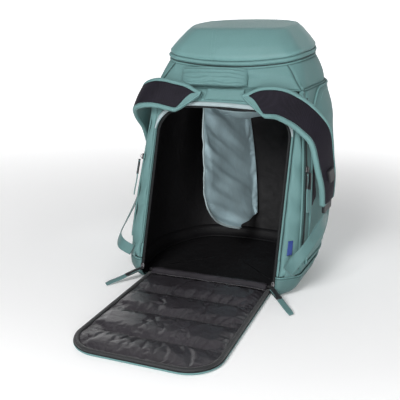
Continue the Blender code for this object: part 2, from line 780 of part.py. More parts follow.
def smooth(points, steps):
    """A smooth curve through the points."""
    out = []
    for i in range(len(points) - 1):
        a, b = points[max(i - 1, 0)], points[i]
        c, d = points[i + 1], points[min(i + 2, len(points) - 1)]
        for k in range(steps):
            t = k / steps
            out.append(0.5 * (2 * b + (c - a) * t + (2 * a - 5 * b + 4 * c - d) * t**2
                              + (3 * b - a - 3 * c + d) * t**3))
    return out + [points[-1]]


HANDLE_MIDDLE, HANDLE_HALF, HANDLE_LEVEL = -0.030, 0.080, 0.4545


def make_handle():
    points = []
    for t in evenly(-1, 1, 11):
        bow = 0.0088 + 0.0150 * (1 - t**2) ** 0.5
        points.append(face_point(HANDLE_MIDDLE + t * HANDLE_HALF, rise_at(HANDLE_LEVEL), bow))
    normals = [OUT_FACE] * 11
    widths = [0.026 + 0.014 * min(1.0, 3 * (1 - abs(t))) for t in evenly(-1, 1, 11)]
    made = ribbon("grab_handle", points, [UP_FACE] * 11, normals, widths, [0.005] * 11, FABRIC)
    high = face_point(HANDLE_MIDDLE, rise_at(HANDLE_LEVEL + 0.0185), 0.0088)
    pivot("grab_handle_pivot", high, [made])


# Middle line and facing of each strap, from its root at the yoke to its lower end.
ROOT = Vector((0.052, -0.0800, 0.401))
ANCHOR = Vector((0.1860, -0.1820, 0.062))
RIGHT_STRAP = [
    (ROOT, (0.10, -0.93, 0.33)),
    ((0.121, -0.0900, 0.408), (0.14, -0.93, 0.34)),
    ((0.167, -0.1060, 0.396), (0.38, -0.85, 0.36)),
    ((0.204, -0.1170, 0.373), (0.62, -0.72, 0.32)),
    ((0.228, -0.1170, 0.344), (0.82, -0.55, 0.20)),
    ((0.238, -0.1070, 0.290), (0.92, -0.38, 0.08)),
    ((0.244, -0.0930, 0.245), (0.95, -0.30, 0.00)),
    ((0.243, -0.0790, 0.200), (0.96, -0.28, 0.00)),
]
LEFT_STRAP = [
    (Vector((-0.060, -0.0810, 0.404)), (-0.10, -0.93, 0.33)),
    ((-0.111, -0.0870, 0.412), (-0.10, -0.93, 0.34)),
    ((-0.157, -0.0930, 0.420), (-0.25, -0.88, 0.42)),
    ((-0.204, -0.0760, 0.409), (-0.66, -0.55, 0.50)),
    ((-0.234, -0.0200, 0.381), (-0.93, -0.20, 0.30)),
    ((-0.2415, 0.0300, 0.340), (-0.97, -0.08, 0.18)),
    ((-0.2455, 0.0600, 0.288), (-0.99, -0.04, 0.06)),
]
# How much of each half of the strap's width is missing at its first rings, above and below.
ROOT_TAPER = [(0.30, 1.30), (0.20, 0.85), (0.12, 0.40), (0.05, 0.10)]
RIGHT_WEB = [(0.2400, -0.1180, 0.150), (0.2220, -0.1720, 0.116), (0.2000, -0.1860, 0.086)]
LEFT_WEB = [(-0.2460, 0.0300, 0.190), (-0.2480, -0.0350, 0.135), (-0.2440, -0.1000, 0.100),
            (-0.2340, -0.1520, 0.082), (-0.2140, -0.1790, 0.073)]


def make_straps():
    for side, sign, path, low_points in (
        ("right", 1, RIGHT_STRAP, RIGHT_WEB),
        ("left", -1, LEFT_STRAP, LEFT_WEB),
    ):
        root = Vector((sign * ROOT.x, ROOT.y, ROOT.z))
        anchor = Vector((sign * ANCHOR.x, ANCHOR.y, ANCHOR.z))
        axis = (root - anchor).normalized()
        middles = smooth([Vector(p) for p, _ in path], 5)
        normals = smooth([Vector(n) for _, n in path], 5)
        count = len(middles)
        acrosses = []
        for i in range(count):
            along = middles[min(i + 1, count - 1)] - middles[max(i - 1, 0)]
            across = along.cross(normals[i]).normalized()
            if across.z < 0 and i < 2:
                across = -across
            if i and across.dot(acrosses[-1]) < 0:
                across = -across
            blend = min(1.0, i / 6)
            acrosses.append((axis * (1 - blend) + across * blend).normalized())
        facing = []
        for i in range(count):
            along = middles[min(i + 1, count - 1)] - middles[max(i - 1, 0)]
            n = acrosses[i].cross(along).normalized()
            facing.append(n if n.dot(normals[i]) > 0 else -n)
        widths = [STRAP_WIDTH - 0.014 * max(0.0, (i / (count - 1) - 0.75) / 0.25) for i in range(count)]
        centres = list(middles)
        for i, (above, below) in enumerate(ROOT_TAPER):
            widths[i] = STRAP_WIDTH * (1 - (above + below) / 2)
            centres[i] = middles[i] + acrosses[i] * (STRAP_WIDTH / 4 * (below - above))
        pad = ribbon("shoulder_strap_" + side, centres, acrosses, facing, widths,
                     [STRAP_THICK] * count, FABRIC)
        lift = STRAP_THICK / 2 + 0.0008 + 0.0008
        raised = [m + n * lift for m, n in zip(centres, facing)]
        mesh = ribbon("strap_mesh_" + side, raised[1:-1], acrosses[1:-1], facing[1:-1],
                      [w - 0.012 for w in widths[1:-1]], [0.0016] * (count - 2), MESH)

        down = (middles[-1] - middles[-2]).normalized()
        lock_at = middles[-1] + down * 0.0135
        half = Vector((0.018, 0.012, 0.0035))
        lock = block("ladder_lock_" + side, -half, half, PLASTIC, 0.002)
        aligned(lock, lock_at, acrosses[-1], facing[-1])
        start = lock_at + down * 0.0145
        line = [start] + smooth([start + down * 0.012] + [Vector(p) for p in low_points] + [anchor], 4)
        turned = OUT_FACE + Vector((0.9 * sign, 0, 0))
        web_facing = [facing[-1]] + smooth([facing[-1]] + [turned] * (len(low_points) - 1)
                                           + [OUT_FACE] * 2, 4)
        web_across = []
        for i in range(len(line)):
            along = line[min(i + 1, len(line) - 1)] - line[max(i - 1, 0)]
            across = web_facing[i].cross(along).normalized()
            web_across.append(across if i == 0 or across.dot(web_across[-1]) > 0 else -across)
        web = ribbon("strap_webbing_" + side, line, web_across, web_facing,
                     [WEB_WIDTH] * len(line), [0.0022] * len(line), WEBBING)

        spot = count - 8
        along = (middles[spot + 1] - middles[spot - 1]).normalized()
        place = raised[spot] + facing[spot] * (0.0012 + 0.0004)
        half = Vector((0.011, 0.014, 0.0028))
        keeper = block("sternum_slider_" + side, -half, half, PLASTIC, 0.0015)
        aligned(keeper, place + facing[spot] * half.z, acrosses[spot], facing[spot])
        pivot("sternum_pivot_" + side, place, [keeper])
        pivot("strap_pivot_" + side, root, [pad, mesh, lock, web])


make_base()
make_face()
make_panels()
make_divider()
make_mat()
make_lid()
make_zips()
make_handle()
make_straps()
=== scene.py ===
"""Looks of the ski boot backpack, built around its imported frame: sewn fabric panels, padded
straps, quilted mat, linings, zips and trim, each riding on the frame body that carries it.

Everything is in metres in the frame's own axes: +Z up, the boot opening and the mat at -Y.
"""

import math
from functools import lru_cache

import bmesh
import bpy
from mathutils import Matrix, Vector, noise


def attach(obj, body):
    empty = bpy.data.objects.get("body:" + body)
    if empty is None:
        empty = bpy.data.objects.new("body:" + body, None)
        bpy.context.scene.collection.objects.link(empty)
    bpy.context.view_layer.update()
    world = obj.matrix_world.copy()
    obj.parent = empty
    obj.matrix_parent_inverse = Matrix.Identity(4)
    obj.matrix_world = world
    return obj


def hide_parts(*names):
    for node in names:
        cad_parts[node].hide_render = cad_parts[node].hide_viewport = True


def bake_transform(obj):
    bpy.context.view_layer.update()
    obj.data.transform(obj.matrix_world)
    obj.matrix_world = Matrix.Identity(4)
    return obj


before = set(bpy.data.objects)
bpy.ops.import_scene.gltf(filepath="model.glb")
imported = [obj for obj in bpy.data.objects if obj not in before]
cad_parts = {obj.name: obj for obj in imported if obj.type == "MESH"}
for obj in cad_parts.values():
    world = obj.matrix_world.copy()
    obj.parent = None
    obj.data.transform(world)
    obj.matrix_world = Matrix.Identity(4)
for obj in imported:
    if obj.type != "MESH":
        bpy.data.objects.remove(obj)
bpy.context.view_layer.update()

# ---- the frame's driving dimensions, in metres ----
HINGE = Vector((0.0, -0.172, 0.020))  # the mat's hinge line
LEAN = math.radians(18.5)  # lean of the opening's face
OPENING_HALF = 0.160
OPENING_RISE = 0.388
OPENING_RADIUS = 0.068
MAT_HALF = 0.147
MAT_LENGTH = 0.3765
MAT_RADIUS = 0.066
MAT_SEAMS = (0.27, 0.52, 0.78)
MAT_NEAR = 0.0045
WALL = 0.005
FRAME_TOP = 0.432
RIM = 0.4845  # height of the rim, where the lid's zip runs
SECTIONS = [  # height, half width at the seam, its set-back, widest half, far half, far depth, tilt
    (0.000, 0.200, 0.030, 0.206, 0.130, 0.160, 0.00),
    (0.045, 0.206, 0.030, 0.219, 0.134, 0.180, 0.00),
    (0.150, 0.204, 0.028, 0.227, 0.142, 0.216, 0.00),
    (0.260, 0.196, 0.024, 0.226, 0.145, 0.226, 0.00),
    (0.360, 0.185, 0.018, 0.217, 0.142, 0.217, 0.04),
    (0.432, 0.178, 0.014, 0.207, 0.132, 0.202, 0.10),
    (0.485, 0.156, 0.012, 0.180, 0.112, 0.190, 0.18),
]
FACE_HALF = 0.1710
RIM_FACE_HALF = 0.132
CROWN_OUT, CROWN_DROP = 0.014, 0.009  # the rim's near edge bows out and hangs
CROWN_FROM, CROWN_HALF, CROWN_REACH = 0.450, 0.156, 0.12
CUTS = (0.005, 0.014, 0.060, 0.060)  # how far from its corner each bend of the outline starts
BENDS = ((1, 3), (4, 8), (9, 14), (15, 21))  # the columns over which each bend runs
COUNT, MIDDLE = 44, 22  # columns right round the body, and the far middle's
SEAM_MIDDLE, SEAM_END, FAR_CORNER = 6, 8, 18  # the side zip's column, its bend's end, the far corner's
WIDE_PLACE = 0.58  # how far back, as a share of the depth, the body is widest
UP_FACE = Vector((0, math.sin(LEAN), math.cos(LEAN)))
OUT_FACE = Vector((0, -math.cos(LEAN), math.sin(LEAN)))
UP = Vector((0, 0, 1))
OPENING_COLUMN = OPENING_HALF / (FACE_HALF - CUTS[0])  # the column of the opening's edge


# ---- the body's outer surface ----
@lru_cache(maxsize=None)
def section(level):
    """The section's six sizes and its tilt at a level, on a smooth curve through SECTIONS."""
    last = len(SECTIONS) - 2
    k = next((i for i in range(last) if level <= SECTIONS[i + 1][0]), last)
    low, high = SECTIONS[k], SECTIONS[k + 1]
    span = high[0] - low[0]
    t = (level - low[0]) / span

    def slope(i, column):
        a, b = SECTIONS[max(i - 1, 0)], SECTIONS[min(i + 1, last + 1)]
        return (b[column] - a[column]) / (b[0] - a[0]) * span

    sizes = []
    for column in range(1, 7):
        m0, m1 = slope(k, column), slope(k + 1, column)
        value = (2 * t**3 - 3 * t**2 + 1) * low[column] + (t**3 - 2 * t**2 + t) * m0
        value += (-2 * t**3 + 3 * t**2) * high[column] + (t**3 - t**2) * m1
        sizes.append(value)
    share = max(0.0, (level - FRAME_TOP) / (RIM - FRAME_TOP))
    half = FACE_HALF + (RIM_FACE_HALF - FACE_HALF) * share
    return tuple([half] + sizes[:5]), sizes[5]


def face_y(z):
    return HINGE.y + (-HINGE.z + math.sin(LEAN) * (z - HINGE.z)) / math.cos(LEAN)


def face_point(x, rise, out=0.0):
    """A point on the leaning face, from its place across, its rise above the hinge and how proud it is."""
    return Vector((x, HINGE.y, HINGE.z)) + UP_FACE * rise + OUT_FACE * (HINGE.z + out)


def rise_at(z):
    """The rise up the face at which its outside is at height z."""
    return (z - HINGE.z - HINGE.z * math.sin(LEAN)) / math.cos(LEAN)


@lru_cache(maxsize=None)
def corners_of(sizes, near_y):
    """Where each bend of the plan outline starts, its corner, and where it ends."""
    half, seam, back, wide, far, far_y = sizes
    row = [Vector((0, near_y)), Vector((half, near_y)), Vector((seam, near_y + back)),
           Vector((wide, near_y + WIDE_PLACE * (far_y - near_y))), Vector((far, far_y)),
           Vector((0, far_y + 0.010))]
    made = []
    for i, length in enumerate(CUTS):
        before, corner, after = row[i:i + 3]
        made.append((corner + (before - corner).normalized() * length, corner,
                     corner + (after - corner).normalized() * length))
    return row[0], made, row[-1]


def plan_point(sizes, near_y, column):
    """The plan outline's point at a column, counted from the face's middle round by the right."""
    column %= COUNT
    flip = column > MIDDLE
    c = COUNT - column if flip else column
    first, bends, last = corners_of(sizes, near_y)
    begin, start = 0.0, first
    found = None
    for (a, b), (p, q, r) in zip(BENDS, bends):
        if c < a:
            found = start.lerp(p, (c - begin) / (a - begin))
            break
        if c <= b:
            t = (c - a) / (b - a)
            found = p * (1 - t) ** 2 + q * (2 * t * (1 - t)) + r * t**2
            break
        begin, start = b, r
    if found is None:
        found = start.lerp(last, (c - begin) / (MIDDLE - begin))
    return Vector((-found.x, found.y)) if flip else found


def moved_out(sizes, near_y, column, out):
    """The outline's point at a column, moved out along the outline's own normal."""
    p = plan_point(sizes, near_y, column)
    if abs(out) < 1e-9:
        return p
    along = plan_point(sizes, near_y, column + 0.2) - plan_point(sizes, near_y, column - 0.2)
    along.normalize()
    return p + Vector((along.y, -along.x)) * out


def crowned(p, near, bow, hang):
    """A point moved with the bow and hang of the rim's near edge."""
    across = min(1.0, abs(p.x) / CROWN_HALF)
    share = (1 - 1.6 * across**2) * ease(1 - (p.y - near) / CROWN_REACH)
    return p - Vector((0, CROWN_OUT * bow * share, CROWN_DROP * hang * share))


def on_body(level, column, out=0.0):
    """A point on the body's surface, or proud of it."""
    sizes, tilt = section(round(level, 5))
    near = face_y(level)
    p = moved_out(sizes, near, column, out)
    p = Vector((p.x, p.y, level + tilt * (p.y - near)))
    share = ease((level - CROWN_FROM) / (RIM - CROWN_FROM))
    return crowned(p, near, share, share) if share else p


def evenly(low, high, count):
    return [low + (high - low) * i / (count - 1) for i in range(count)]


def even_columns(first, last, step, level=0.25):
    """Columns from first to last, evenly spaced along the surface, and their distances along it."""
    fine = evenly(first, last, 240)
    run = [0.0]
    for a, b in zip(fine, fine[1:]):
        run.append(run[-1] + (on_body(level, b) - on_body(level, a)).length)
    count = max(3, round(run[-1] / step) + 1)
    columns, k = [], 0
    wanted = evenly(0.0, run[-1], count)
    for s in wanted:
        while k < len(fine) - 2 and run[k + 1] < s:
            k += 1
        t = (s - run[k]) / max(run[k + 1] - run[k], 1e-9)
        columns.append(fine[k] + (fine[k + 1] - fine[k]) * min(1.0, max(0.0, t)))
    return columns, wanted


def ease(x):
    x = min(1.0, max(0.0, x))
    return x * x * (3 - 2 * x)


def relief(p, size, amount, seed=0.0):
    """Soft unevenness of a fabric surface, on the scale of size."""
    at = p / size + Vector((seed, seed * 0.7, -seed))
    return amount * (noise.noise(at) + 0.45 * noise.noise(at * 2.3) + 0.2 * noise.noise(at * 5.1))


def smooth_line(points, steps):
    """A smooth curve through the points."""
    out = []
    for i in range(len(points) - 1):
        a, b = points[max(i - 1, 0)], points[i]
        c, d = points[i + 1], points[min(i + 2, len(points) - 1)]
        for k in range(steps):
            t = k / steps
            out.append(0.5 * (2 * b + (c - a) * t + (2 * a - 5 * b + 4 * c - d) * t**2
                              + (3 * b - a - 3 * c + d) * t**3))
    return out + [points[-1]]


# ---- materials ----
class Nodes:
    """A short way to wire a Principled material."""

    def __init__(self, name, roughness=0.8, **sockets):
        self.material = bpy.data.materials.new(name)
        self.material.use_nodes = True
        self.tree = self.material.node_tree
        self.shader = self.tree.nodes["Principled BSDF"]
        self.shader.inputs["Roughness"].default_value = roughness
        for socket, value in sockets.items():
            self.shader.inputs[socket.replace("_", " ")].default_value = value
        self.place = self.tree.nodes.new("ShaderNodeTexCoord").outputs["Object"]

    def add(self, kind, inputs=(), **settings):
        node = self.tree.nodes.new("ShaderNode" + kind)
        for key, value in settings.items():
            setattr(node, key, value)
        for key, value in dict(inputs).items():
            if isinstance(value, bpy.types.NodeSocket):
                self.tree.links.new(value, node.inputs[key])
            else:
                node.inputs[key].default_value = value
        return node

    def mapped(self, rotation=(0, 0, 0), scale=(1, 1, 1)):
        return self.add("Mapping", {"Vector": self.place, "Rotation": rotation, "Scale": scale}).outputs[0]

    def noise(self, scale, detail=3.0, roughness=0.55, vector=None, distortion=0.0):
        inputs = {"Vector": vector or self.place, "Scale": scale, "Detail": detail,
                  "Roughness": roughness, "Distortion": distortion}
        return self.add("TexNoise", inputs).outputs["Fac"]

    def waves(self, period, rotation=(0, 0, 0)):
        """Fine ribs this far apart, across the x axis after the rotation."""
        bands = 20  # Blender's wave texture has this many ribs to 2 pi units at scale 1
        inputs = {"Vector": self.mapped(rotation), "Scale": 2 * math.pi / (bands * period)}
        return self.add("TexWave", inputs, wave_type="BANDS", bands_direction="X").outputs["Fac"]

    def span(self, value, low, high, to_low=0.0, to_high=1.0):
        inputs = {"Value": value, "From Min": low, "From Max": high, "To Min": to_low, "To Max": to_high}
        return self.add("MapRange", inputs).outputs["Result"]

    def math(self, operation, a, b):
        return self.add("Math", {0: a, 1: b}, operation=operation).outputs[0]

    def blend(self, factor, a, b):
        node = self.add("Mix", data_type="RGBA")
        self.tree.links.new(factor, node.inputs["Factor"])
        for key, value in (("A", a), ("B", b)):
            socket = [s for s in node.inputs if s.name == key and s.type == "RGBA"][0]
            if isinstance(value, bpy.types.NodeSocket):
                self.tree.links.new(value, socket)
            else:
                socket.default_value = (*value, 1)
        return [s for s in node.outputs if s.type == "RGBA"][0]

    def bump(self, layers):
        """Stacks bumps. Each layer is a height, its depth in metres and its strength."""
        normal = None
        for height, depth, strength in layers:
            inputs = {"Height": height, "Distance": depth, "Strength": strength}
            if normal is not None:
                inputs["Normal"] = normal
            normal = self.add("Bump", inputs).outputs[0]
        self.tree.links.new(normal, self.shader.inputs["Normal"])

    def colour(self, socket):
        self.tree.links.new(socket, self.shader.inputs["Base Color"])

    def rough(self, socket):
        self.tree.links.new(socket, self.shader.inputs["Roughness"])


def times(colour, share):
    return tuple(c * share for c in colour)


def woven(name, colour, thread=0.0011, heather=0.16, roughness=0.72, sheen=0.09, worn=0.12, drape=0.0012):
    """Plain-woven pack fabric: two sets of threads, heathered colour, soft creases and paler edges."""
    n = Nodes(name, roughness, Sheen_Weight=sheen, Sheen_Roughness=0.45, Specular_IOR_Level=0.35,
              Sheen_Tint=(0.80, 0.95, 0.93, 1))
    weft = n.waves(thread, (0, 0, math.radians(38)))
    warp = n.waves(thread, (0, math.radians(90), 0))
    weave = n.math("MULTIPLY", weft, warp)
    flecks = n.noise(620, 2.0, 0.6)
    broad = n.noise(7.0, 4.0, 0.6)
    base = n.blend(n.span(broad, 0.3, 0.7), times(colour, 0.93), times(colour, 1.07))
    base = n.blend(n.span(flecks, 0.35, 0.65, 0, heather), base, times(colour, 1.5))
    base = n.blend(n.math("MULTIPLY", weave, 0.14), base, times(colour, 0.55))
    edge = n.add("NewGeometry").outputs["Pointiness"]
    base = n.blend(n.span(edge, 0.52, 0.60, 0, worn), base, times(colour, 1.9))
    n.colour(base)
    n.rough(n.span(broad, 0.3, 0.7, roughness - 0.06, roughness + 0.06))
    n.bump([(n.noise(34, 3.0, 0.55, distortion=0.6), drape, 0.45), (weave, 0.00016, 0.5),
            (flecks, 0.0001, 0.3)])
    return n.material


def webbing(name, colour):
    """Flat webbing and binding: strong ribs across, a finer rib along."""
    n = Nodes(name, 0.62, Sheen_Weight=0.2, Specular_IOR_Level=0.4)
    ribs = n.waves(0.0019, (0, math.radians(90), math.radians(20)))
    fine = n.waves(0.0008, (0, 0, math.radians(50)))
    broad = n.noise(30, 3.0)
    base = n.blend(n.span(broad, 0.3, 0.7), times(colour, 0.90), times(colour, 1.08))
    n.colour(n.blend(n.math("MULTIPLY", n.math("MULTIPLY", ribs, fine), 0.25), base, times(colour, 0.5)))
    n.bump([(ribs, 0.0003, 0.5), (fine, 0.00012, 0.4)])
    return n.material


def coated(name, colour, roughness, crease, depth, glow=0.5, coat=0.0):
    """Smooth coated lining: glossy where it is stretched, broken up by fine creases."""
    n = Nodes(name, roughness, Specular_IOR_Level=glow, Coat_Weight=coat, Coat_Roughness=0.35)
    creases = n.noise(crease, 5.0, 0.62, distortion=1.4)
    along = n.noise(crease * 0.55, 3.0, 0.6, n.mapped((0, 0, 0.35), (1.0, 2.6, 1.0)), 0.8)
    grain = n.math("MULTIPLY", n.waves(0.0013, (0, 0, math.radians(45))),
                   n.waves(0.0013, (0, math.radians(90), math.radians(45))))
    broad = n.noise(9.0, 3.0)
    base = n.blend(n.span(broad, 0.3, 0.7), times(colour, 0.8), times(colour, 1.25))
    n.colour(n.blend(n.math("MULTIPLY", grain, 0.22), base, times(colour, 1.8)))
    n.rough(n.span(creases, 0.3, 0.7, roughness - 0.09, roughness + 0.10))
    n.bump([(creases, depth, 0.5), (along, depth * 1.4, 0.5), (grain, 0.00008, 0.4)])
    return n.material


def air_mesh(name, colour):
    """Spacer mesh: rows of small open cells between raised threads, the cells painted darker as painted
    shade.
    """
    n = Nodes(name, 0.75, Sheen_Weight=0.05, Sheen_Roughness=0.4, Specular_IOR_Level=0.18,
              Sheen_Tint=(0.75, 0.68, 0.85, 1))
    cells = n.add("TexVoronoi", {"Vector": n.mapped((0.4, 0.2, 0.3), (1, 1, 1.35)), "Scale": 430,
                                 "Randomness": 0.25}).outputs["Distance"]
    thread = n.span(cells, 0.25, 0.6)
    broad = n.noise(14, 3.0)
    # painted shade: the open cells are darkened well below the threads
    base = n.blend(thread, times(colour, 0.35), colour)
    n.colour(n.blend(n.span(broad, 0.35, 0.65, 0, 0.4), base, times(colour, 1.6)))
    n.bump([(n.noise(40, 2.0), 0.0008, 0.4), (thread, 0.0005, 0.6)])
    return n.material


def zip_tape(name, colour):
    n = Nodes(name, 0.7, Sheen_Weight=0.05, Specular_IOR_Level=0.25)
    teeth = n.waves(0.0026, (0, math.radians(90), 0))
    knit = n.waves(0.0012, (0, 0, math.radians(45)))
    n.colour(n.blend(n.math("MULTIPLY", teeth, knit), times(colour, 0.7), times(colour, 1.6)))
    n.bump([(teeth, 0.0004, 0.6), (knit, 0.0001, 0.4)])
    return n.material


def hard(name, colour, roughness, metallic=0.0, grain=0.00008):
    """Moulded plastic or plated metal, with fine grain and rubbed, paler corners."""
    n = Nodes(name, roughness, Metallic=metallic, Specular_IOR_Level=0.5)
    fine = n.noise(900, 2.0)
    broad = n.noise(60, 3.0)
    edge = n.span(n.add("NewGeometry").outputs["Pointiness"], 0.52, 0.62)
    base = n.blend(n.span(broad, 0.3, 0.7), times(colour, 0.85), times(colour, 1.15))
    n.colour(n.blend(n.math("MULTIPLY", edge, 0.35), base, times(colour, 2.6)))
    n.rough(n.span(broad, 0.3, 0.7, roughness - 0.06, roughness + 0.08))
    n.bump([(fine, grain, 0.35)])
    return n.material


GREEN = (0.105, 0.207, 0.206)
FABRIC = woven("green_fabric", GREEN)
# the lid: the body's green made lighter, as painted light on the lid; its smoother, glossier finish is its
# own
LID_FABRIC_PAINTED_LIGHT = woven("lid_fabric_painted_light", times(GREEN, 1.12), heather=0.2, roughness=0.54, sheen=0.12, drape=0.0005)
# the base: the body's green darkened, as painted shade low on the bag; its paler edges are wear
BASE_FABRIC_PAINTED_SHADE = woven("base_fabric_painted_shade", times(GREEN, 0.62), roughness=0.6, worn=0.2)
TRIM = woven("trim_fabric", times(GREEN, 1.08), thread=0.0009, worn=0.05, drape=0.0004)
WEB = webbing("green_webbing", (0.085, 0.180, 0.180))
PALE = webbing("pale_binding", (0.300, 0.375, 0.390))
LINING = coated("black_lining", (0.0045, 0.0042, 0.0050), 0.66, 26, 0.0016, 0.3)
GLOSSY = coated("mat_lining_coated", (0.031, 0.028, 0.033), 0.36, 30, 0.0030, 0.60, 0.20)
TEAL = coated("teal_lining", (0.400, 0.540, 0.585), 0.46, 24, 0.0018, 0.45)
# the ceiling's right part: a darker copy of the divider's teal, as painted shade
TEAL_PAINTED_SHADE = coated("teal_lining_painted_shade", (0.185, 0.250, 0.268), 0.50, 24, 0.0018, 0.35)
BLACK_EDGE = webbing("black_binding", (0.012, 0.013, 0.015))
MESH = air_mesh("black_mesh", (0.0105, 0.009, 0.0145))
TAPE = zip_tape("zip_tape", (0.010, 0.012, 0.013))
GREEN_TAPE = zip_tape("green_zip_tape", times(GREEN, 0.55))
METAL = hard("dark_metal", (0.090, 0.088, 0.092), 0.34, 0.85)
PLASTIC = hard("black_plastic", (0.014, 0.014, 0.016), 0.42)
LABEL = webbing("blue_label", (0.020, 0.050, 0.230))
THREAD = webbing("thread", times(GREEN, 1.5))
DARK_THREAD = webbing("dark_thread", (0.020, 0.019, 0.021))


# ---- mesh builders ----
def mesh_piece(name, points, faces, finish, smooth=True):
    mesh = bpy.data.meshes.new(name)
    mesh.from_pydata([tuple(p) for p in points], [], faces)
    mesh.materials.append(finish)
    if smooth:
        mesh.shade_smooth()
    made = bpy.data.objects.new(name, mesh)
    bpy.context.scene.collection.objects.link(made)
    return made


def placed(piece, body, nodes=()):
    """The piece rides a body, and stands for the given frame nodes."""
    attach(piece, body)
    if nodes:
        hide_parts(*nodes)
    return piece


def outward(piece):
    """Turns the piece's faces to one side; for a closed mesh that side is the outside."""
    work = bmesh.new()
    work.from_mesh(piece.data)
    bmesh.ops.recalc_face_normals(work, faces=work.faces)
    work.to_mesh(piece.data)
    work.free()
    return piece


def thickened(piece, thickness, offset=-1.0):
    """Gives a sheet its thickness: behind its front at offset -1, to both sides at 0."""
    shell = piece.modifiers.new("thickness", "SOLIDIFY")
    shell.thickness, shell.offset = thickness, offset


def smoothed(piece):
    smoothing = piece.modifiers.new("smooth", "SUBSURF")
    smoothing.levels = smoothing.render_levels = 1


def capped(piece, loops, extra=()):
    """Adds a face over each loop of point numbers; extra points are numbered after the piece's own."""
    work = bmesh.new()
    work.from_mesh(piece.data)
    for point in extra:
        work.verts.new(point)
    work.verts.ensure_lookup_table()
    for loop in loops:
        work.faces.new([work.verts[i] for i in loop])
    work.to_mesh(piece.data)
    work.free()
    return piece


def grid(name, rows, finish, thick=0.0, closed=False):
    """A sheet over rows of points. Its front is where rows going up and columns going right face.

    thick adds a back that far behind the front, and closes the rim.
    """
    height, width = len(rows), len(rows[0])
    points = [p for row in rows for p in row]
    spans = width if closed else width - 1
    faces = [(r * width + c, r * width + (c + 1) % width, (r + 1) * width + (c + 1) % width,
              (r + 1) * width + c) for r in range(height - 1) for c in range(spans)]
    made = mesh_piece(name, points, faces, finish)
    if thick:
        thickened(made, thick)
    return made


def closed_rows(name, rows, finish):
    """A closed tube over rings of points, with a face over each end."""
    made = grid(name, rows, finish, closed=True)
    count, total = len(rows[0]), len(rows) * len(rows[0])
    return outward(capped(made, [range(count), range(total - 1, total - count - 1, -1)]))


def facing_front(piece, front):
    """Turns a sheet over if most of it faces away from the given direction."""
    total = sum((p.normal for p in piece.data.polygons), Vector())
    if total.dot(front) < 0:
        piece.data.flip_normals()
    return piece


def flipped(line):
    """The line mirrored across the bag's middle."""
    return [Vector((-p.x, p.y, p.z)) for p in line]


def sided(line, left):
    """A line made for the right side, mirrored if it is for the left."""
    return flipped(line) if left else line


def sided_row(row, left):
    """The same for a sheet's row, which then runs the other way so that its front stays outside."""
    return flipped(row)[::-1] if left else row


def sweep(name, line, normals, profile, finish, closed=False):
    """A profile of (across, out) points carried along a line, facing along its normals.

    profile is one list, or a function from the share of the way along to a list.
    """
    count = len(line)
    points, sides = [], None
    for i, middle in enumerate(line):
        a = line[i - 1] if closed or i else line[0]
        b = line[(i + 1) % count] if closed else line[min(i + 1, count - 1)]
        along = (b - a).normalized()
        normal = normals[i] if isinstance(normals, list) else normals
        across = along.cross(normal).normalized()
        out = across.cross(along)
        shape = profile(i / max(count - 1, 1)) if callable(profile) else profile
        sides = len(shape)
        points += [middle + across * x + out * y for x, y in shape]
    faces = []
    for i in range(count if closed else count - 1):
        j = (i + 1) % count
        faces += [(i * sides + k, i * sides + (k + 1) % sides, j * sides + (k + 1) % sides, j * sides + k)
                  for k in range(sides)]
    if not closed:
        faces += [tuple(range(sides))[::-1], tuple((count - 1) * sides + k for k in range(sides))]
    return outward(mesh_piece(name, points, faces, finish))


def oval(width, thick, sides=10):
    """An oval profile, width across and thick out."""
    turns = [2 * math.pi * k / sides for k in range(sides)]
    return [(width / 2 * math.cos(t), thick / 2 * math.sin(t)) for t in turns]


def flat_profile(width, thick, crown=0.0):
    """A ribbon's profile with soft edges, crowned on its outside."""
    half, t = width / 2, thick / 2
    top = [(s * half, t + crown * (1 - s * s)) for s in (0.94, 0.6, 0.2, -0.2, -0.6, -0.94)]
    low = [(s * half, -t) for s in (-0.94, -0.3, 0.3, 0.94)]
    return [(half, -t * 0.3), (half, t * 0.3)] + top + [(-half, t * 0.3), (-half, -t * 0.3)] + low


def resampled(line, step, closed=False):
    """Points a step apart along a line."""
    row = list(line) + ([line[0]] if closed else [])
    run = [0.0]
    for a, b in zip(row, row[1:]):
        run.append(run[-1] + (b - a).length)
    count = max(2, round(run[-1] / step) + 1)
    out, k = [], 0
    for s in evenly(0.0, run[-1], count):
        while k < len(row) - 2 and run[k + 1] < s:
            k += 1
        t = (s - run[k]) / max(run[k + 1] - run[k], 1e-9)
        out.append(row[k].lerp(row[k + 1], min(1.0, max(0.0, t))))
    return out[:-1] if closed else out


STITCHES = {}  # (body, colour) -> the points and faces of all its stitches


def stitch(body, line, normal, pitch=0.0042, length=0.0028, radius=0.00042, colour="green"):
    """A row of stitches along a line. normal is one direction, or a function from a point to one."""
    points, faces = STITCHES.setdefault((body, colour), ([], []))
    marks = resampled(line, pitch)
    for a, b in zip(marks, marks[1:]):
        along = (b - a).normalized()
        out = normal(a) if callable(normal) else normal
        across = along.cross(out).normalized()
        out = across.cross(along)
        middle = (a + b) / 2
        first = len(points)
        points.append(middle - along * length / 2 - out * radius * 0.6)
        for s in (-0.28, 0.28):
            ring = middle + along * length * s
            points.extend([ring + across * radius, ring + out * radius * 0.8, ring - across * radius,
                           ring - out * radius])
        points.append(middle + along * length / 2 - out * radius * 0.6)
        for k in range(4):
            j = (k + 1) % 4
            faces.append((first, first + 1 + j, first + 1 + k))
            faces.append((first + 1 + k, first + 1 + j, first + 5 + j, first + 5 + k))
            faces.append((first + 5 + k, first + 5 + j, first + 9))


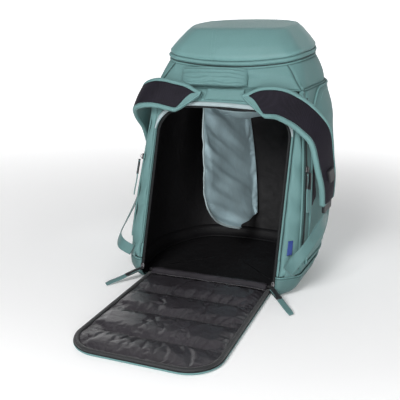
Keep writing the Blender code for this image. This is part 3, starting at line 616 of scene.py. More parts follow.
def panel(name, columns, levels, finish, nodes, swell=0.0, out=0.0, tuck=0.0022, thick=0.003,
          step=0.006, shape=None, wide=0.040, left=False):
    """A sewn panel over the body.

    columns is its span; levels is (low, high), or a function from the share along to (low, high).
    swell pads its middle out over wide from its edges, out stands it proud, tuck draws its edges
    into the seams, and shape adds its own relief from (distance along, level, distance to the
    nearest edge, column). left builds it mirrored.
    """
    chosen, runs = even_columns(*columns, step)
    spans = [levels(s / runs[-1]) if callable(levels) else levels for s in runs]
    tallest = max(high - low for low, high in spans)
    count = max(4, round(tallest / step) + 1)
    rows = []
    for v in evenly(0.0, 1.0, count):
        row = []
        for column, s, (low, high) in zip(chosen, runs, spans):
            level = low + (high - low) * v
            edge = min(s, runs[-1] - s, level - low, high - level)
            lift = out + swell * ease(edge / wide) - tuck * math.exp(-edge / 0.0030)
            if shape:
                lift += shape(s, level, edge, column)
            row.append(on_body(level, column, lift))
        rows.append(sided_row(row, left))
    return placed(grid(name, rows, finish, thick), "bag", nodes)


def edge_line(columns, levels, out, left=False, step=0.006):
    """A line round a panel's whole border, just proud of the body."""
    chosen, runs = even_columns(*columns, step)
    spans = [levels(s / runs[-1]) if callable(levels) else levels for s in runs]
    low_side = [on_body(low, c, out) for c, (low, _) in zip(chosen, spans)]
    high_side = [on_body(high, c, out) for c, (_, high) in zip(chosen, spans)]
    rise = [on_body(z, chosen[-1], out) for z in evenly(*spans[-1], 40)][1:-1]
    fall = [on_body(z, chosen[0], out) for z in evenly(*spans[0], 40)][1:-1]
    line = resampled(low_side + rise + high_side[::-1] + fall[::-1], step, closed=True)
    return sided_row(line, left)


def away(p):
    """A rough outward direction at a point on the body, for small trim."""
    middle = Vector((0, 0.02 + 0.33 * (p.z - 0.2) * 0.3, p.z))
    return (p - middle).normalized()


def trim(name, line, normals, profile, finish, nodes=(), body="bag", closed=False):
    """A length of trim: a profile swept along a line, placed on its body."""
    return placed(sweep(name, line, normals, profile, finish, closed), body, nodes)


def outwards(line):
    return [away(p) for p in line]


def seam_cord(name, line, radius, finish, closed=False):
    """A piping cord along a line on the bag."""
    trim(name, line, outwards(line), oval(radius * 2, radius * 2, 8), finish, closed=closed)


# ---- base ----
TRAY = [(0.0, 0.025), (0.0008, 0.0215), (0.003, 0.0165), (0.007, 0.0110), (0.012, 0.0068),
        (0.019, 0.0033), (0.026, 0.0012), (0.036, 0.0003), (0.0452, 0.0)]


def tray_point(z, drawn, column, out=0.0):
    """A point on the base, whose outline at height z is drawn in towards its middle."""
    half, seam, back, wide, far, far_y = section(z)[0]
    sizes = (half - drawn * 0.4, seam - drawn, back, wide - drawn, far - drawn * 0.7, far_y - drawn)
    p = moved_out(sizes, face_y(z) + drawn, column, out)
    return Vector((p.x, p.y, z))


def make_base():
    """The base: a tray with a tucked foot, piped and stitched along its upper edge, its green painted
    darker as painted shade.
    """
    columns = even_columns(OPENING_COLUMN, COUNT - OPENING_COLUMN, 0.008, 0.03)[0]
    rows = []
    for k, (z, drawn) in enumerate(TRAY):
        tuck = -0.0014 if k == len(TRAY) - 1 else 0.0
        row = []
        for c in columns:
            p = tray_point(z, drawn, c, tuck)
            softness = ease(z / 0.02) * (0.0 if k == len(TRAY) - 1 else 1.0)
            row.append(p + away(p) * relief(p, 0.05, 0.0012, 3.0) * softness)
        rows.append(row)
    tray = grid("base_shell", rows, BASE_FABRIC_PAINTED_SHADE)
    total = len(rows) * len(columns)
    under = list(range(len(columns)))[::-1] + [total + 1, total]
    capped(tray, [under], [(x, HINGE.y + 0.0015, 0.0) for x in (-0.155, 0.155)])
    thickened(outward(tray), 0.0028)
    placed(tray, "bag", ["base_tray"])
    fine = even_columns(OPENING_COLUMN, COUNT - OPENING_COLUMN, 0.006, 0.05)[0]
    line = [tray_point(0.0452, 0.0, c, 0.0008) for c in fine]
    seam_cord("base_piping", line, 0.0017, TRIM)
    stitch("bag", [tray_point(0.0395, 0.0002, c, 0.0004) for c in fine], away)


def make_base_lining():
    """The lining's lower skirt, from inside the base's wall down to the floor pad."""
    start = OPENING_COLUMN + 0.06
    columns = even_columns(start, COUNT - start, 0.008, 0.03)[0]
    rows = []
    for z, drawn in ((0.0078, 0.0270), (0.0084, 0.0190), (0.0110, 0.0140), (0.0160, 0.0112),
                     (0.0230, 0.0098), (0.0320, 0.0092)):
        unevenness = [0.0008 * noise.noise(Vector((c * 1.7, z * 60, 0.5))) for c in columns]
        rows.append([tray_point(z, drawn, c, out) for c, out in zip(columns, unevenness)])
    made = grid("base_skirt_lining", rows, LINING, 0.0008)
    placed(made, "bag")


def floor_edge(z, drawn):
    """The line where the floor lining meets the walls."""
    return [tray_point(z, drawn, c) for c in even_columns(0.0, COUNT - 0.5, 0.012, 0.03)[0]]


def make_floor():
    """The padded floor lining, gently crowned, with a rolled edge."""
    rings = []
    front = HINGE.y + 0.0125
    for share, z in ((0.0, 0.0048), (0.004, 0.0066), (0.010, 0.0076), (0.03, 0.0080)):
        ring = [Vector((p.x, max(p.y, front + share), z)) for p in floor_edge(0.010, 0.0225 + share)]
        rings.append(ring)
    middle = Vector((0, 0.01, 0.0082))
    for share in (0.25, 0.5, 0.75, 0.95):
        ring = [p.lerp(middle, share) for p in rings[3]]
        rings.append([p + UP * relief(p, 0.05, 0.0006, 5.0) for p in ring])
    made = grid("floor_pad", rings, LINING, closed=True)
    count, total = len(rings[0]), len(rings) * len(rings[0])
    capped(made, [range(total - count, total), range(count - 1, -1, -1)])
    placed(outward(made), "bag", ["floor_lining"])


def make_sill():
    """The rolled sill under the mat's hinge, and the lining that bridges from it to the mat."""
    reach = OPENING_HALF - 0.012
    line = [Vector((x, HINGE.y + 0.0060, 0.0112)) for x in evenly(-reach, reach, 60)]
    line = [p + UP * relief(p, 0.03, 0.0007, 8.0) for p in line]
    trim("sill_roll", line, UP, oval(0.0088, 0.0152, 14), LINING, ["mat_sill"])
    half = 0.1385
    rows = []
    path = [(0.034, 0.0094), (0.024, 0.0102), (0.017, 0.0140), (0.0115, 0.0195), (0.0050, 0.0212),
            (0.0000, 0.0209), (-0.0045, 0.0186), (-0.0090, 0.0160), (-0.0140, 0.0146)]
    path = smooth_line([Vector((0, HINGE.y + y, z)) for y, z in path], 3)
    for p in path:
        row = []
        for x in evenly(-half, half, 70):
            q = Vector((x, p.y, p.z))
            edge = min(1.0, (half - abs(x)) / 0.012)
            q.z += relief(q, 0.022, 0.0011, 9.0) * edge - 0.0018 * (1 - edge)
            row.append(q)
        rows.append(row[::-1])
    bridge = grid("hinge_bridge", rows, GLOSSY, 0.0010)
    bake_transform(bridge)


# ---- the face round the opening ----
def arch(half, top, radius, foot, step=0.006):
    """The opening's arch from its right foot over the top to its left foot, as (x, rise, turn)."""
    count = max(3, round((top - radius - foot) / step))
    rise = [(half, y, 0.0) for y in evenly(foot, top - radius, count)]
    turns = evenly(0.0, math.pi / 2, 21)[1:]
    bend = [(half - radius + radius * math.cos(t), top - radius + radius * math.sin(t), t) for t in turns]
    across = [(x, top, math.pi / 2) for x in evenly(half - radius, 0.0, 16)[1:]]
    right = rise + bend + across
    return right + [(-x, y, t) for x, y, t in reversed(right[:-1])]


def sag(x):
    """How far the opening's top edge hangs below its pattern: softly, and more at the right."""
    at_right = 0.0035 * math.exp(-((x - 0.075) / 0.055) ** 2)
    at_left = 0.002 * math.exp(-((x + 0.12) / 0.04) ** 2)
    return 0.0020 + at_right + at_left


def hung(x, rise):
    """A point of the opening's edge, let down by its sag where it runs across the top."""
    share = ease((rise - (OPENING_RISE - OPENING_RADIUS)) / OPENING_RADIUS)
    return rise - sag(x) * share


BINDING_FROM = 0.322  # rise at which the pale binding takes over from the piping
YOKE_LOW, YOKE_HIGH = 0.4040, 0.4305  # heights of the yoke patch's edges


def make_face():
    """The panel round the opening, with the opening's edging and zip and the yoke patch above it."""
    low, high = 0.0478, FRAME_TOP - 0.0003
    top, half = rise_at(high), FACE_HALF - CUTS[0] - 0.0004
    foot = rise_at(low)
    inner = arch(OPENING_HALF + 0.0004, OPENING_RISE + 0.0004, OPENING_RADIUS, foot)
    centre_x, centre_y = OPENING_HALF - OPENING_RADIUS, OPENING_RISE - OPENING_RADIUS
    rows = []
    for x, y, turn in inner:
        side = 1 if x >= 0 else -1
        if turn == 0.0:
            outer = (half, y)
        elif abs(x) < centre_x:
            outer = (abs(x), top)
        else:
            c, s = math.cos(turn), math.sin(turn)
            reach = min((half - centre_x) / max(c, 1e-6), (top - centre_y) / max(s, 1e-6))
            outer = (centre_x + c * reach, centre_y + s * reach)
        row = []
        for t in evenly(0.0, 1.0, 12):
            px, py = side * (abs(x) + (outer[0] - abs(x)) * t), y + (outer[1] - y) * t
            py = py - (y - hung(x, y)) * (1 - t)
            edge = min(t, 1 - t) * math.hypot(outer[0] - abs(x), outer[1] - y)
            lift = 0.0022 * ease(edge / 0.012) - 0.0016 * math.exp(-edge / 0.0022)
            lift += relief(face_point(px, py), 0.045, 0.0016, 1.0) * ease(edge / 0.010)
            row.append(face_point(px, py, lift))
        rows.append(row)
    made = grid("face_panel", rows, FABRIC, 0.0030)
    placed(facing_front(made, OUT_FACE), "bag", ["face_frame"])
    half, foot = OPENING_HALF + 0.0032, rise_at(0.080)
    line = arch(half, OPENING_RISE + 0.0032, OPENING_RADIUS + 0.003, foot)
    over = resampled([face_point(x, hung(x, y), 0.0030) for x, y, _ in line if y > BINDING_FROM], 0.005)

    def rolled(share):
        """The binding is rolled out across the top, and slims down where it turns."""
        slim = ease((0.5 - abs(share - 0.5)) / 0.10)
        return oval(0.0040 + 0.0062 * slim, 0.0034 + 0.0024 * slim, 12)

    trim("opening_edge_binding", over, OUT_FACE, rolled, PALE, ["opening_binding"])
    for side, sign in (("right", 1), ("left", -1)):
        down = [face_point(x, y, 0.0024) for x, y, _ in line
                if y < BINDING_FROM + 0.012 and x * sign > 0]
        trim("opening_edge_piping_" + side, resampled(down, 0.005), OUT_FACE, oval(0.0040, 0.0040, 10),
             FABRIC)
    middle = arch(0.1566, OPENING_RISE - 0.0026, OPENING_RADIUS - 0.0030, -0.004)
    line = resampled([face_point(x, y - sag(x) * ease((y - 0.30) / 0.06), -0.0026)
                      for x, y, _ in middle], 0.005)
    trim("opening_tape", line, OUT_FACE, flat_profile(0.0056, 0.0012), TAPE,
         ["opening_zip_tape"])
    raised = [p + OUT_FACE * 0.0012 for p in line]
    trim("opening_zip_coil", raised, OUT_FACE, oval(0.0034, 0.0022, 8), TAPE)
    rows = []
    for v in evenly(0.0, 1.0, 14):
        row = []
        for u in evenly(-1.0, 1.0, 36):
            z = YOKE_HIGH - (YOKE_HIGH - YOKE_LOW) * (1 - v)
            x = u * (0.050 - 0.006 * v)
            edge = min(1 - abs(u), v, 1 - v)
            lift = 0.0054 + 0.0016 * ease(edge * 3) - 0.003 * math.exp(-edge / 0.03)
            row.append(face_point(x, rise_at(z), lift + relief(Vector((x, 0, z)), 0.03, 0.0010, 4.0)))
        rows.append(row)
    yoke = grid("yoke_patch", rows, FABRIC, 0.0028)
    placed(facing_front(yoke, OUT_FACE), "bag", ["yoke_panel"])
    for z in (YOKE_LOW + 0.0025, YOKE_HIGH - 0.0020):
        stitch("bag", [face_point(x, rise_at(z), 0.0066) for x in evenly(-0.046, 0.046, 30)], OUT_FACE)


# ---- the body's panels ----
LOW, HIGH = 0.0466, FRAME_TOP - 0.0006  # the heights between which the panels run
POCKET_RADIUS = 0.085
POCKET_RUN = 0.270  # the side pocket's length along the body
POCKET_SPAN = (SEAM_END + 0.12, 16.0)
POCKET_OUT, POCKET_SWELL, POCKET_WIDE = 0.0030, 0.0085, 0.060  # proud edge, padding, and its rise
SIDE_ZIP_SPAN = (SEAM_MIDDLE - 0.95, SEAM_MIDDLE + 0.95)
SIDE_ZIP_FOOT = 0.086  # where the side pocket's zip ends, under the strap's webbing
FAR_POCKET_SPAN = (19.0, 25.0)
FAR_ZIP = 0.3115  # height of the far pocket's zip
COIL = oval(0.0032, 0.0024, 8)
SMALL_COIL = oval(0.0030, 0.0022, 8)


def pocket_levels(share):
    """The side pocket's lower and upper edge: its top falls in a wide curve to its front edge."""
    near = max(0.0, 1 - share * POCKET_RUN / POCKET_RADIUS)
    drop = POCKET_RADIUS * 1.05 * (1 - math.sqrt(max(0.0, 1 - near**2)))
    return 0.062, 0.428 - drop


def strip_shape(s, level, edge, column):
    """The strip beside the opening is gathered on to its zip: short tucks off both seams."""
    tucks = math.sin(level * 2 * math.pi / 0.031 + 2.5 * noise.noise(Vector((level * 30, 1.7, 0))))
    wander = 2 * noise.noise(Vector((level * 16, 4.2, 1)))
    slanted = math.sin((level + s * 1.1) * 2 * math.pi / 0.062 + wander)
    bulge = 0.0024 * noise.noise(Vector((level * 11, 7.3, 0.4)))
    return (0.0007 * tucks * math.exp(-edge / 0.007) + 0.0017 * slanted + bulge) * ease(edge / 0.006)


def side_shape(s, level, edge, column):
    return relief(on_body(level, column), 0.075, 0.0026, 11.0) * ease(edge / 0.02)


def pocket_shape(s, level, edge, column):
    p = on_body(level, column)
    tucks = math.sin(s * 2 * math.pi / 0.024 + 3 * noise.noise(p * 25))
    return relief(p, 0.085, 0.0026, 15.0) * ease(edge / 0.02) + 0.0006 * tucks * math.exp(-edge / 0.006)


def far_shape(s, level, edge, column):
    return relief(on_body(level, column), 0.10, 0.0022, 21.0) * ease(edge / 0.02)


def make_side(side, left):
    """One side: the strip beside the opening, the side panel, its zip and padded pocket."""
    name = "_" + side
    panel("edge_strip" + name, (1.12, SEAM_MIDDLE - 0.10), (LOW, HIGH), FABRIC,
          ["edge_strip" + name], swell=0.0045, step=0.0042, shape=strip_shape, wide=0.022, left=left)
    panel("side_panel" + name + "_cover", (SEAM_MIDDLE + 0.10, FAR_CORNER - 0.08), (LOW, HIGH), FABRIC,
          ["side_panel_" + side], swell=0.0010, shape=side_shape, wide=0.03, left=left)
    panel("side_pocket" + name + "_cover", POCKET_SPAN, pocket_levels, FABRIC,
          ["side_pocket_" + side], swell=POCKET_SWELL, out=POCKET_OUT, tuck=0.0030, thick=0.002,
          step=0.0055, shape=pocket_shape, wide=POCKET_WIDE, left=left)
    line = edge_line(POCKET_SPAN, pocket_levels, POCKET_OUT, left)
    seam_cord("side_pocket_piping" + name, line, 0.0026, TRIM, True)
    inner = edge_line((POCKET_SPAN[0] + 0.35, POCKET_SPAN[1] - 0.3),
                      lambda u: (0.076, pocket_levels(0.03 + 0.94 * u)[1] - 0.009), 0.0062, left)
    stitch("bag", inner, away)
    panel("side_zip_tape" + name, SIDE_ZIP_SPAN, (SIDE_ZIP_FOOT, 0.414), GREEN_TAPE,
          ["side_zip_" + side], out=0.0021, tuck=0.0008, thick=0.0012, step=0.003, left=left)
    levels = evenly(SIDE_ZIP_FOOT + 0.002, 0.412, 90)
    line = sided([on_body(z, SEAM_MIDDLE, 0.0026) for z in levels], left)
    trim("side_zip_coil" + name, line, outwards(line), COIL, TAPE)
    for offset in (-1.15, 1.15):
        stitch("bag", sided([on_body(z, SEAM_MIDDLE + offset, 0.0012) for z in levels], left), away)
    flap = [on_body(z, SEAM_MIDDLE - 1.35, 0.0034) for z in evenly(SIDE_ZIP_FOOT, 0.416, 80)]
    flap = sided(flap, left)
    trim("side_zip_flap" + name, flap, outwards(flap), oval(0.0052, 0.0034, 10), FABRIC)


def pocket_lift(level, column):
    """How proud the side pocket's cover lies at a place."""
    chosen = (column - POCKET_SPAN[0]) / (POCKET_SPAN[1] - POCKET_SPAN[0])
    low, high = pocket_levels(chosen)
    edge = min(chosen * POCKET_RUN, level - low, high - level)
    return POCKET_OUT + POCKET_SWELL * ease(edge / POCKET_WIDE)


def make_side_mesh(side, left):
    """The dark stretch mesh let into the pocket's front, behind the zip."""
    rows = []
    for v in evenly(0.0, 1.0, 30):
        level = 0.184 + 0.106 * v
        wide = 0.10 + 0.78 * ease(v / 0.45)
        row = []
        for u in evenly(0.0, 1.0, 12):
            column = 8.13 + wide * u
            edge = min(u, 1 - u, v, 1 - v)
            lift = pocket_lift(level, column) + 0.0022 - 0.0022 * math.exp(-edge / 0.05)
            row.append(on_body(level, column, lift))
        rows.append(sided_row(row, left))
    made = grid("side_mesh_panel_" + side, rows, MESH, 0.0012)
    placed(made, "bag", ["side_mesh_" + side])
    near_edge, far_edge = [row[0] for row in rows], [row[-1] for row in rows]
    border = near_edge + rows[-1][1:-1] + far_edge[::-1] + rows[0][1:-1][::-1]
    border = resampled(border, 0.004, True)
    seam_cord("side_mesh_binding_" + side, border, 0.0012, BLACK_EDGE, True)


def make_far_side():
    """The far panel, its zipped pocket and the piping down its corner seams."""
    span = (FAR_CORNER + 0.06, COUNT - FAR_CORNER - 0.06)
    panel("far_panel_cover", span, (LOW, HIGH), FABRIC, ["far_panel"], swell=0.002,
          step=0.007, shape=far_shape)

    def pocket(share):
        rise = 0.030 * (1 - ease(min(share, 1 - share) / 0.16))
        return 0.070, 0.3035 - rise

    panel("far_pocket_cover", FAR_POCKET_SPAN, pocket, FABRIC, ["far_pocket"],
          swell=0.0105, out=POCKET_OUT, tuck=0.0040, thick=0.002, shape=far_shape, wide=0.055)
    border = edge_line(FAR_POCKET_SPAN, pocket, POCKET_OUT)
    seam_cord("far_pocket_piping", border, 0.0024, TRIM, True)
    panel("far_zip_tape", FAR_POCKET_SPAN, (FAR_ZIP - 0.0053, FAR_ZIP + 0.0053), GREEN_TAPE,
          ["far_zip"], out=0.0020, tuck=0.0006, thick=0.0012, step=0.004)
    line = [on_body(FAR_ZIP, c, 0.0026) for c in even_columns(*FAR_POCKET_SPAN, 0.005)[0]]
    trim("far_zip_coil", line, outwards(line), COIL, TAPE)
    for z in (0.2990, 0.3200):
        stitch("bag", [on_body(z, c, 0.0035) for c in even_columns(19.6, 24.4, 0.005)[0]], away)
    for column in (FAR_CORNER, COUNT - FAR_CORNER):
        line = [on_body(z, column, 0.0006) for z in evenly(LOW, HIGH, 80)]
        seam_cord("far_seam_piping_%d" % column, line, 0.0021, TRIM)


def collar_shape(s, level, edge, column):
    """The collar creases across behind the handle and pulls smooth at its corners."""
    p = on_body(level, column)
    front = ease((1.6 - min(column % COUNT, COUNT - column % COUNT)) / 0.8)
    creases = noise.noise(Vector((p.x * 9, 3.3, p.z * 75)))
    creases += 0.5 * noise.noise(Vector((p.x * 16, 1.1, p.z * 130)))
    return (relief(p, 0.07, 0.0020, 31.0) + 0.0019 * creases * front) * ease(edge / 0.008)


COLLAR_THICK = 0.0042


def make_collar():
    """The collar above the body's panels: a front, two sides and a far part, with an inner ring."""
    low, high = FRAME_TOP + 0.0008, RIM - 0.0004
    ring = [on_body(FRAME_TOP, c, -0.0002) for c in even_columns(0.0, COUNT - 0.12, 0.006, FRAME_TOP)[0]]
    seam_cord("collar_base_piping", ring, 0.0014, FABRIC, True)
    panel("collar_front", (-2.15, 2.15), (low, high), FABRIC, ["collar"], swell=0.0016,
          thick=COLLAR_THICK, step=0.0036, shape=collar_shape, wide=0.018)
    for side, left in (("right", False), ("left", True)):
        panel("collar_" + side, (2.20, FAR_CORNER - 0.06), (low, high), FABRIC, [],
              swell=0.002, thick=COLLAR_THICK, step=0.0055, shape=collar_shape, wide=0.020, left=left)
        line = sided([on_body(z, 2.17, 0.0004) for z in evenly(FRAME_TOP, RIM, 24)], left)
        seam_cord("collar_corner_seam_" + side, line, 0.0009, GREEN_TAPE)
        dart = [on_body(FRAME_TOP - 0.002 - 0.034 * ease(t) ** 0.8, 2.6 + 5.6 * t, 0.0016)
                for t in evenly(0.0, 1.0, 40)]
        dart = resampled(sided(dart, left), 0.004)
        seam_cord("collar_dart_seam_" + side, dart, 0.0010, GREEN_TAPE)
    around_it = even_columns(0.0, COUNT - 0.12, 0.008, FRAME_TOP)[0]
    rows = [[on_body(z, c, -0.0046) for c in around_it]
            for z in evenly(FRAME_TOP + 0.0005, RIM - 0.0012, 8)]
    placed(outward(grid("collar_lining", rows, FABRIC, closed=True)), "bag")
    panel("collar_far", (FAR_CORNER + 0.06, COUNT - FAR_CORNER - 0.06), (low, high), FABRIC,
          [], swell=0.002, thick=COLLAR_THICK, step=0.0065, shape=collar_shape,
          wide=0.020)


# ---- linings and divider ----
def settle(piece, held, frames, cap, pressure=0.0, gravity=0.0, slack=0.0, bending=0.4):
    """Lets Cloth settle a piece. Its held points stay put, and each other keeps within cap of its start."""
    group = piece.vertex_groups.new(name="held")
    group.add(sorted(held), 1.0, "REPLACE")
    cloth = piece.modifiers.new("cloth", "CLOTH")
    settings = cloth.settings
    settings.quality = 6
    settings.mass = 0.15
    settings.vertex_group_mass = "held"
    settings.tension_stiffness = settings.compression_stiffness = 18
    settings.shear_stiffness = 6
    settings.bending_stiffness = bending
    settings.shrink_min = -slack
    settings.effector_weights.gravity = gravity
    settings.use_pressure = pressure != 0.0
    settings.uniform_pressure_force = pressure
    cloth.collision_settings.use_collision = False
    scene = bpy.context.scene
    for number in range(1, frames + 1):
        scene.frame_set(number)
    shaped = piece.evaluated_get(bpy.context.evaluated_depsgraph_get()).to_mesh()
    for vertex, reached in zip(piece.data.vertices, [v.co.copy() for v in shaped.vertices]):
        move = reached - vertex.co
        if move.length > cap:
            move *= cap / move.length
        vertex.co += move
    piece.modifiers.remove(cloth)
    piece.vertex_groups.remove(group)
    scene.frame_set(1)


LINING_LOW, LINING_HIGH = 0.0225, 0.4165  # heights of the wall lining's edges


def make_wall_lining():
    """The lining round the inside of the walls, with soft upright folds."""
    columns, runs = even_columns(1.14, COUNT - 1.14, 0.008)
    rows = []
    for z in evenly(LINING_LOW, LINING_HIGH, 46):
        row = []
        for c, s in zip(columns, runs):
            fold = noise.noise(Vector((s * 17, z * 3.2, 0.3)))
            fold += 0.5 * noise.noise(Vector((s * 38, z * 6, 2.3)))
            edge = min(s, runs[-1] - s, z - LINING_LOW, LINING_HIGH - z)
            inset = WALL + 0.0022 + 0.0042 * (0.5 + 0.5 * fold) * ease(edge / 0.03)
            level = max(z, 0.0300)
            drawn = 0.006 * max(0.0, (0.034 - z) / 0.012)
            p = on_body(level, c, -inset - drawn)
            p.z = z if z < 0.030 else p.z
            row.append(p)
        rows.append(row[::-1])
    made = grid("inner_wall_lining", rows, LINING, 0.0009)
    placed(made, "bag", ["wall_lining"])


def ceiling_rim(column):
    """The inside of the wall at the height of the lid compartment's floor."""
    return on_body(0.415, column, -0.0075)


def ceiling_half(y):
    """Half the room across under the lid compartment's floor, at a depth into the bag."""
    rim = [ceiling_rim(c) for c in evenly(1.0, MIDDLE, 90)]
    for a, b in zip(rim, rim[1:]):
        if a.y <= y <= b.y:
            return a.x + (b.x - a.x) * (y - a.y) / max(b.y - a.y, 1e-6)
    return 0.10


DIVIDER_TOP_X = -0.0625
CEILING_SAG = 0.046  # how far the compartment's floor bags down behind the opening's edge
CEILING_FRONT = face_y(0.3965) + 0.0078
CEILING_FAR = section(0.42)[0][5] - 0.002


def ceiling_point(x, y):
    """A point of the ceiling: it runs down to the opening's top edge, and sags at the right."""
    front, far = CEILING_FRONT, CEILING_FAR
    share = (y - front) / (far - front)
    z = 0.4160 + 0.085 * (y - front) * 0.9
    z -= 0.0215 * (1 - ease(share / 0.22))
    right = ease((x - DIVIDER_TOP_X) / 0.05)
    z -= right * CEILING_SAG * math.exp(-((share - 0.15) / 0.13) ** 2) * (0.95 + 0.12 * math.sin(x * 50))
    z += relief(Vector((x, y, 0)), 0.055, 0.0042, 41.0) * ease(share / 0.1) * (0.4 + 0.9 * right)
    return Vector((x, y, z))


def make_ceiling():
    """The compartment's floor seen from below: black at the left, at the right a darker copy of the
    divider's teal as painted shade.
    """
    for name, left_x, right_x, finish, slot, nodes in (
        ("ceiling_left", None, DIVIDER_TOP_X, LINING, "black_lining", []),
        ("ceiling_right", DIVIDER_TOP_X, None, TEAL_PAINTED_SHADE, "teal_lining", ["lid_pocket_floor"]),
    ):
        rows = []
        for y in evenly(CEILING_FRONT, CEILING_FAR, 54):
            half = ceiling_half(max(y, ceiling_rim(1.0).y)) - 0.001
            start = -half if left_x is None else left_x
            stop = half if right_x is None else right_x
            rows.append([ceiling_point(x, y) for x in evenly(start, max(stop, start + 0.01), 34)])
        made = grid(name, rows, finish, 0.0009)
        placed(made, "bag", nodes)


# the divider's free edge down the front, as (x, z)
DIVIDER_FRONT = [(-0.064, 0.395), (-0.051, 0.330), (-0.046, 0.270), (-0.045, 0.194), (-0.038, 0.152),
                 (-0.025, 0.116), (-0.006, 0.092), (0.014, 0.078)]
DIVIDER_Y = -0.070  # the nearest its free edge comes to the opening


def make_divider():
    """The hanging divider: fixed along its top and its far edge, its free edge bound."""
    spine = []
    count = len(DIVIDER_FRONT) - 1
    for i, (x, z) in enumerate(DIVIDER_FRONT):
        t = i / count
        near = Vector((x, max(DIVIDER_Y, face_y(z) + 0.029), z))
        if t > 0.6:
            near.y += 0.10 * (t - 0.6) / 0.4
        far = Vector((-0.030 + 0.045 * t, 0, 0.408 - 0.335 * t))
        far.y = section(far.z)[0][5] - 0.012
        spine.append((near, far))
    nears = resampled(smooth_line([a for a, _ in spine], 10), 0.0052)
    fars = smooth_line([b for _, b in spine], 10)
    total = len(fars) - 1
    rows = []
    for i, near in enumerate(nears):
        t = i / (len(nears) - 1)
        k = t * total
        far = fars[int(k)].lerp(fars[min(int(k) + 1, total)], k - int(k))
        row = []
        for s in evenly(0.0, 1.0, 50):
            p = near.lerp(far, s)
            free = ease(t / 0.12) * (1 - s) ** 0.5
            wave = noise.noise(Vector((p.z * 24 + p.y * 13, p.y * 4 - p.z * 2, 0.7)))
            wave += 0.5 * noise.noise(Vector((p.z * 50 + p.y * 30, p.y * 7, 5.7)))
            p.x += 0.0125 * wave * free * ease((s + 0.04) / 0.10) + 0.0020 * math.sin(t * 21) * free
            row.append(p)
        rows.append(row)
    top = [ceiling_point(DIVIDER_TOP_X, p.y) for p in rows[0]]
    sewn = [Vector((q.x, p.y, min(q.z, 0.414 + 0.03 * i / 50)))
            for i, (p, q) in enumerate(zip(rows[0], top))]
    rows = [sewn] + rows
    made = grid("divider_sheet", rows, TEAL)
    width = len(rows[0])
    held = set(range(width)) | {r * width + width - 1 for r in range(len(rows))}
    settle(made, held, 22, 0.008, gravity=0.30, slack=0.05, bending=0.25)
    free = [made.data.vertices[r * width].co.copy() for r in range(1, len(rows))]
    thickened(made, 0.0009, 0.0)
    smoothed(made)
    placed(made, "bag", ["divider_curtain"])
    line = resampled(free, 0.005)
    trim("divider_edge_binding", line, Vector((1, 0, 0.2)), oval(0.0062, 0.0036, 10), PALE,
         ["divider_binding"])
    inner = [made.data.vertices[r * width + 1].co + Vector((0.0008, 0, 0)) for r in range(1, len(rows))]
    stitch("bag", inner, Vector((1, -0.3, 0)), colour="pale")


# ---- the mat ----
def mat_half_at(rise, inset):
    """Half the mat's width at a rise from its hinge, drawn in by inset."""
    radius, end = MAT_RADIUS - inset, MAT_LENGTH - inset
    over = max(0.0, rise - (end - radius))
    return MAT_HALF - inset - radius + math.sqrt(max(0.0, radius**2 - over**2))


def mat_line(inset, z):
    """The mat's edge from its right foot round its free end to its left foot, at a height."""
    row = arch(MAT_HALF - inset, MAT_LENGTH - inset, MAT_RADIUS - inset, MAT_NEAR)
    return resampled([Vector((x, HINGE.y - rise, z)) for x, rise, _ in row], 0.006)


def make_mat():
    """The mat's padded cover with its bound edge, its zip and its quilted lining."""
    profile = [(0.012, 0.0006), (0.0040, 0.0006), (0.0014, 0.0012), (0.0002, 0.0026), (0.0001, 0.0044),
               (0.0010, 0.0062), (0.0030, 0.0072), (0.0100, 0.0074)]
    lines = [mat_line(inset, z) for inset, z in profile]
    count = min(len(line) for line in lines)
    rows = [[line[round(i * (len(line) - 1) / (count - 1))] for i in range(count)] for line in lines]
    shell = grid("mat_cover_shell", rows, FABRIC)
    total = len(rows) * count
    capped(shell, [range(count), range(total - 1, total - count - 1, -1),
                   range(0, total, count), range(total - 1, 0, -count)])
    placed(outward(shell), "mat", ["mat_cover", "mat_board"])
    edge = mat_line(0.0048, 0.0094)
    trim("mat_edge_binding", edge, UP, oval(0.0098, 0.0064, 12), BLACK_EDGE,
         ["mat_zip_tape"], "mat")
    trim("mat_zip_coil", mat_line(0.0006, 0.0066), UP, SMALL_COIL, TAPE, body="mat")
    trim("mat_outer_welt", mat_line(0.0012, 0.0036), UP, oval(0.0036, 0.0040, 8), TRIM,
         body="mat")
    make_mat_lining()


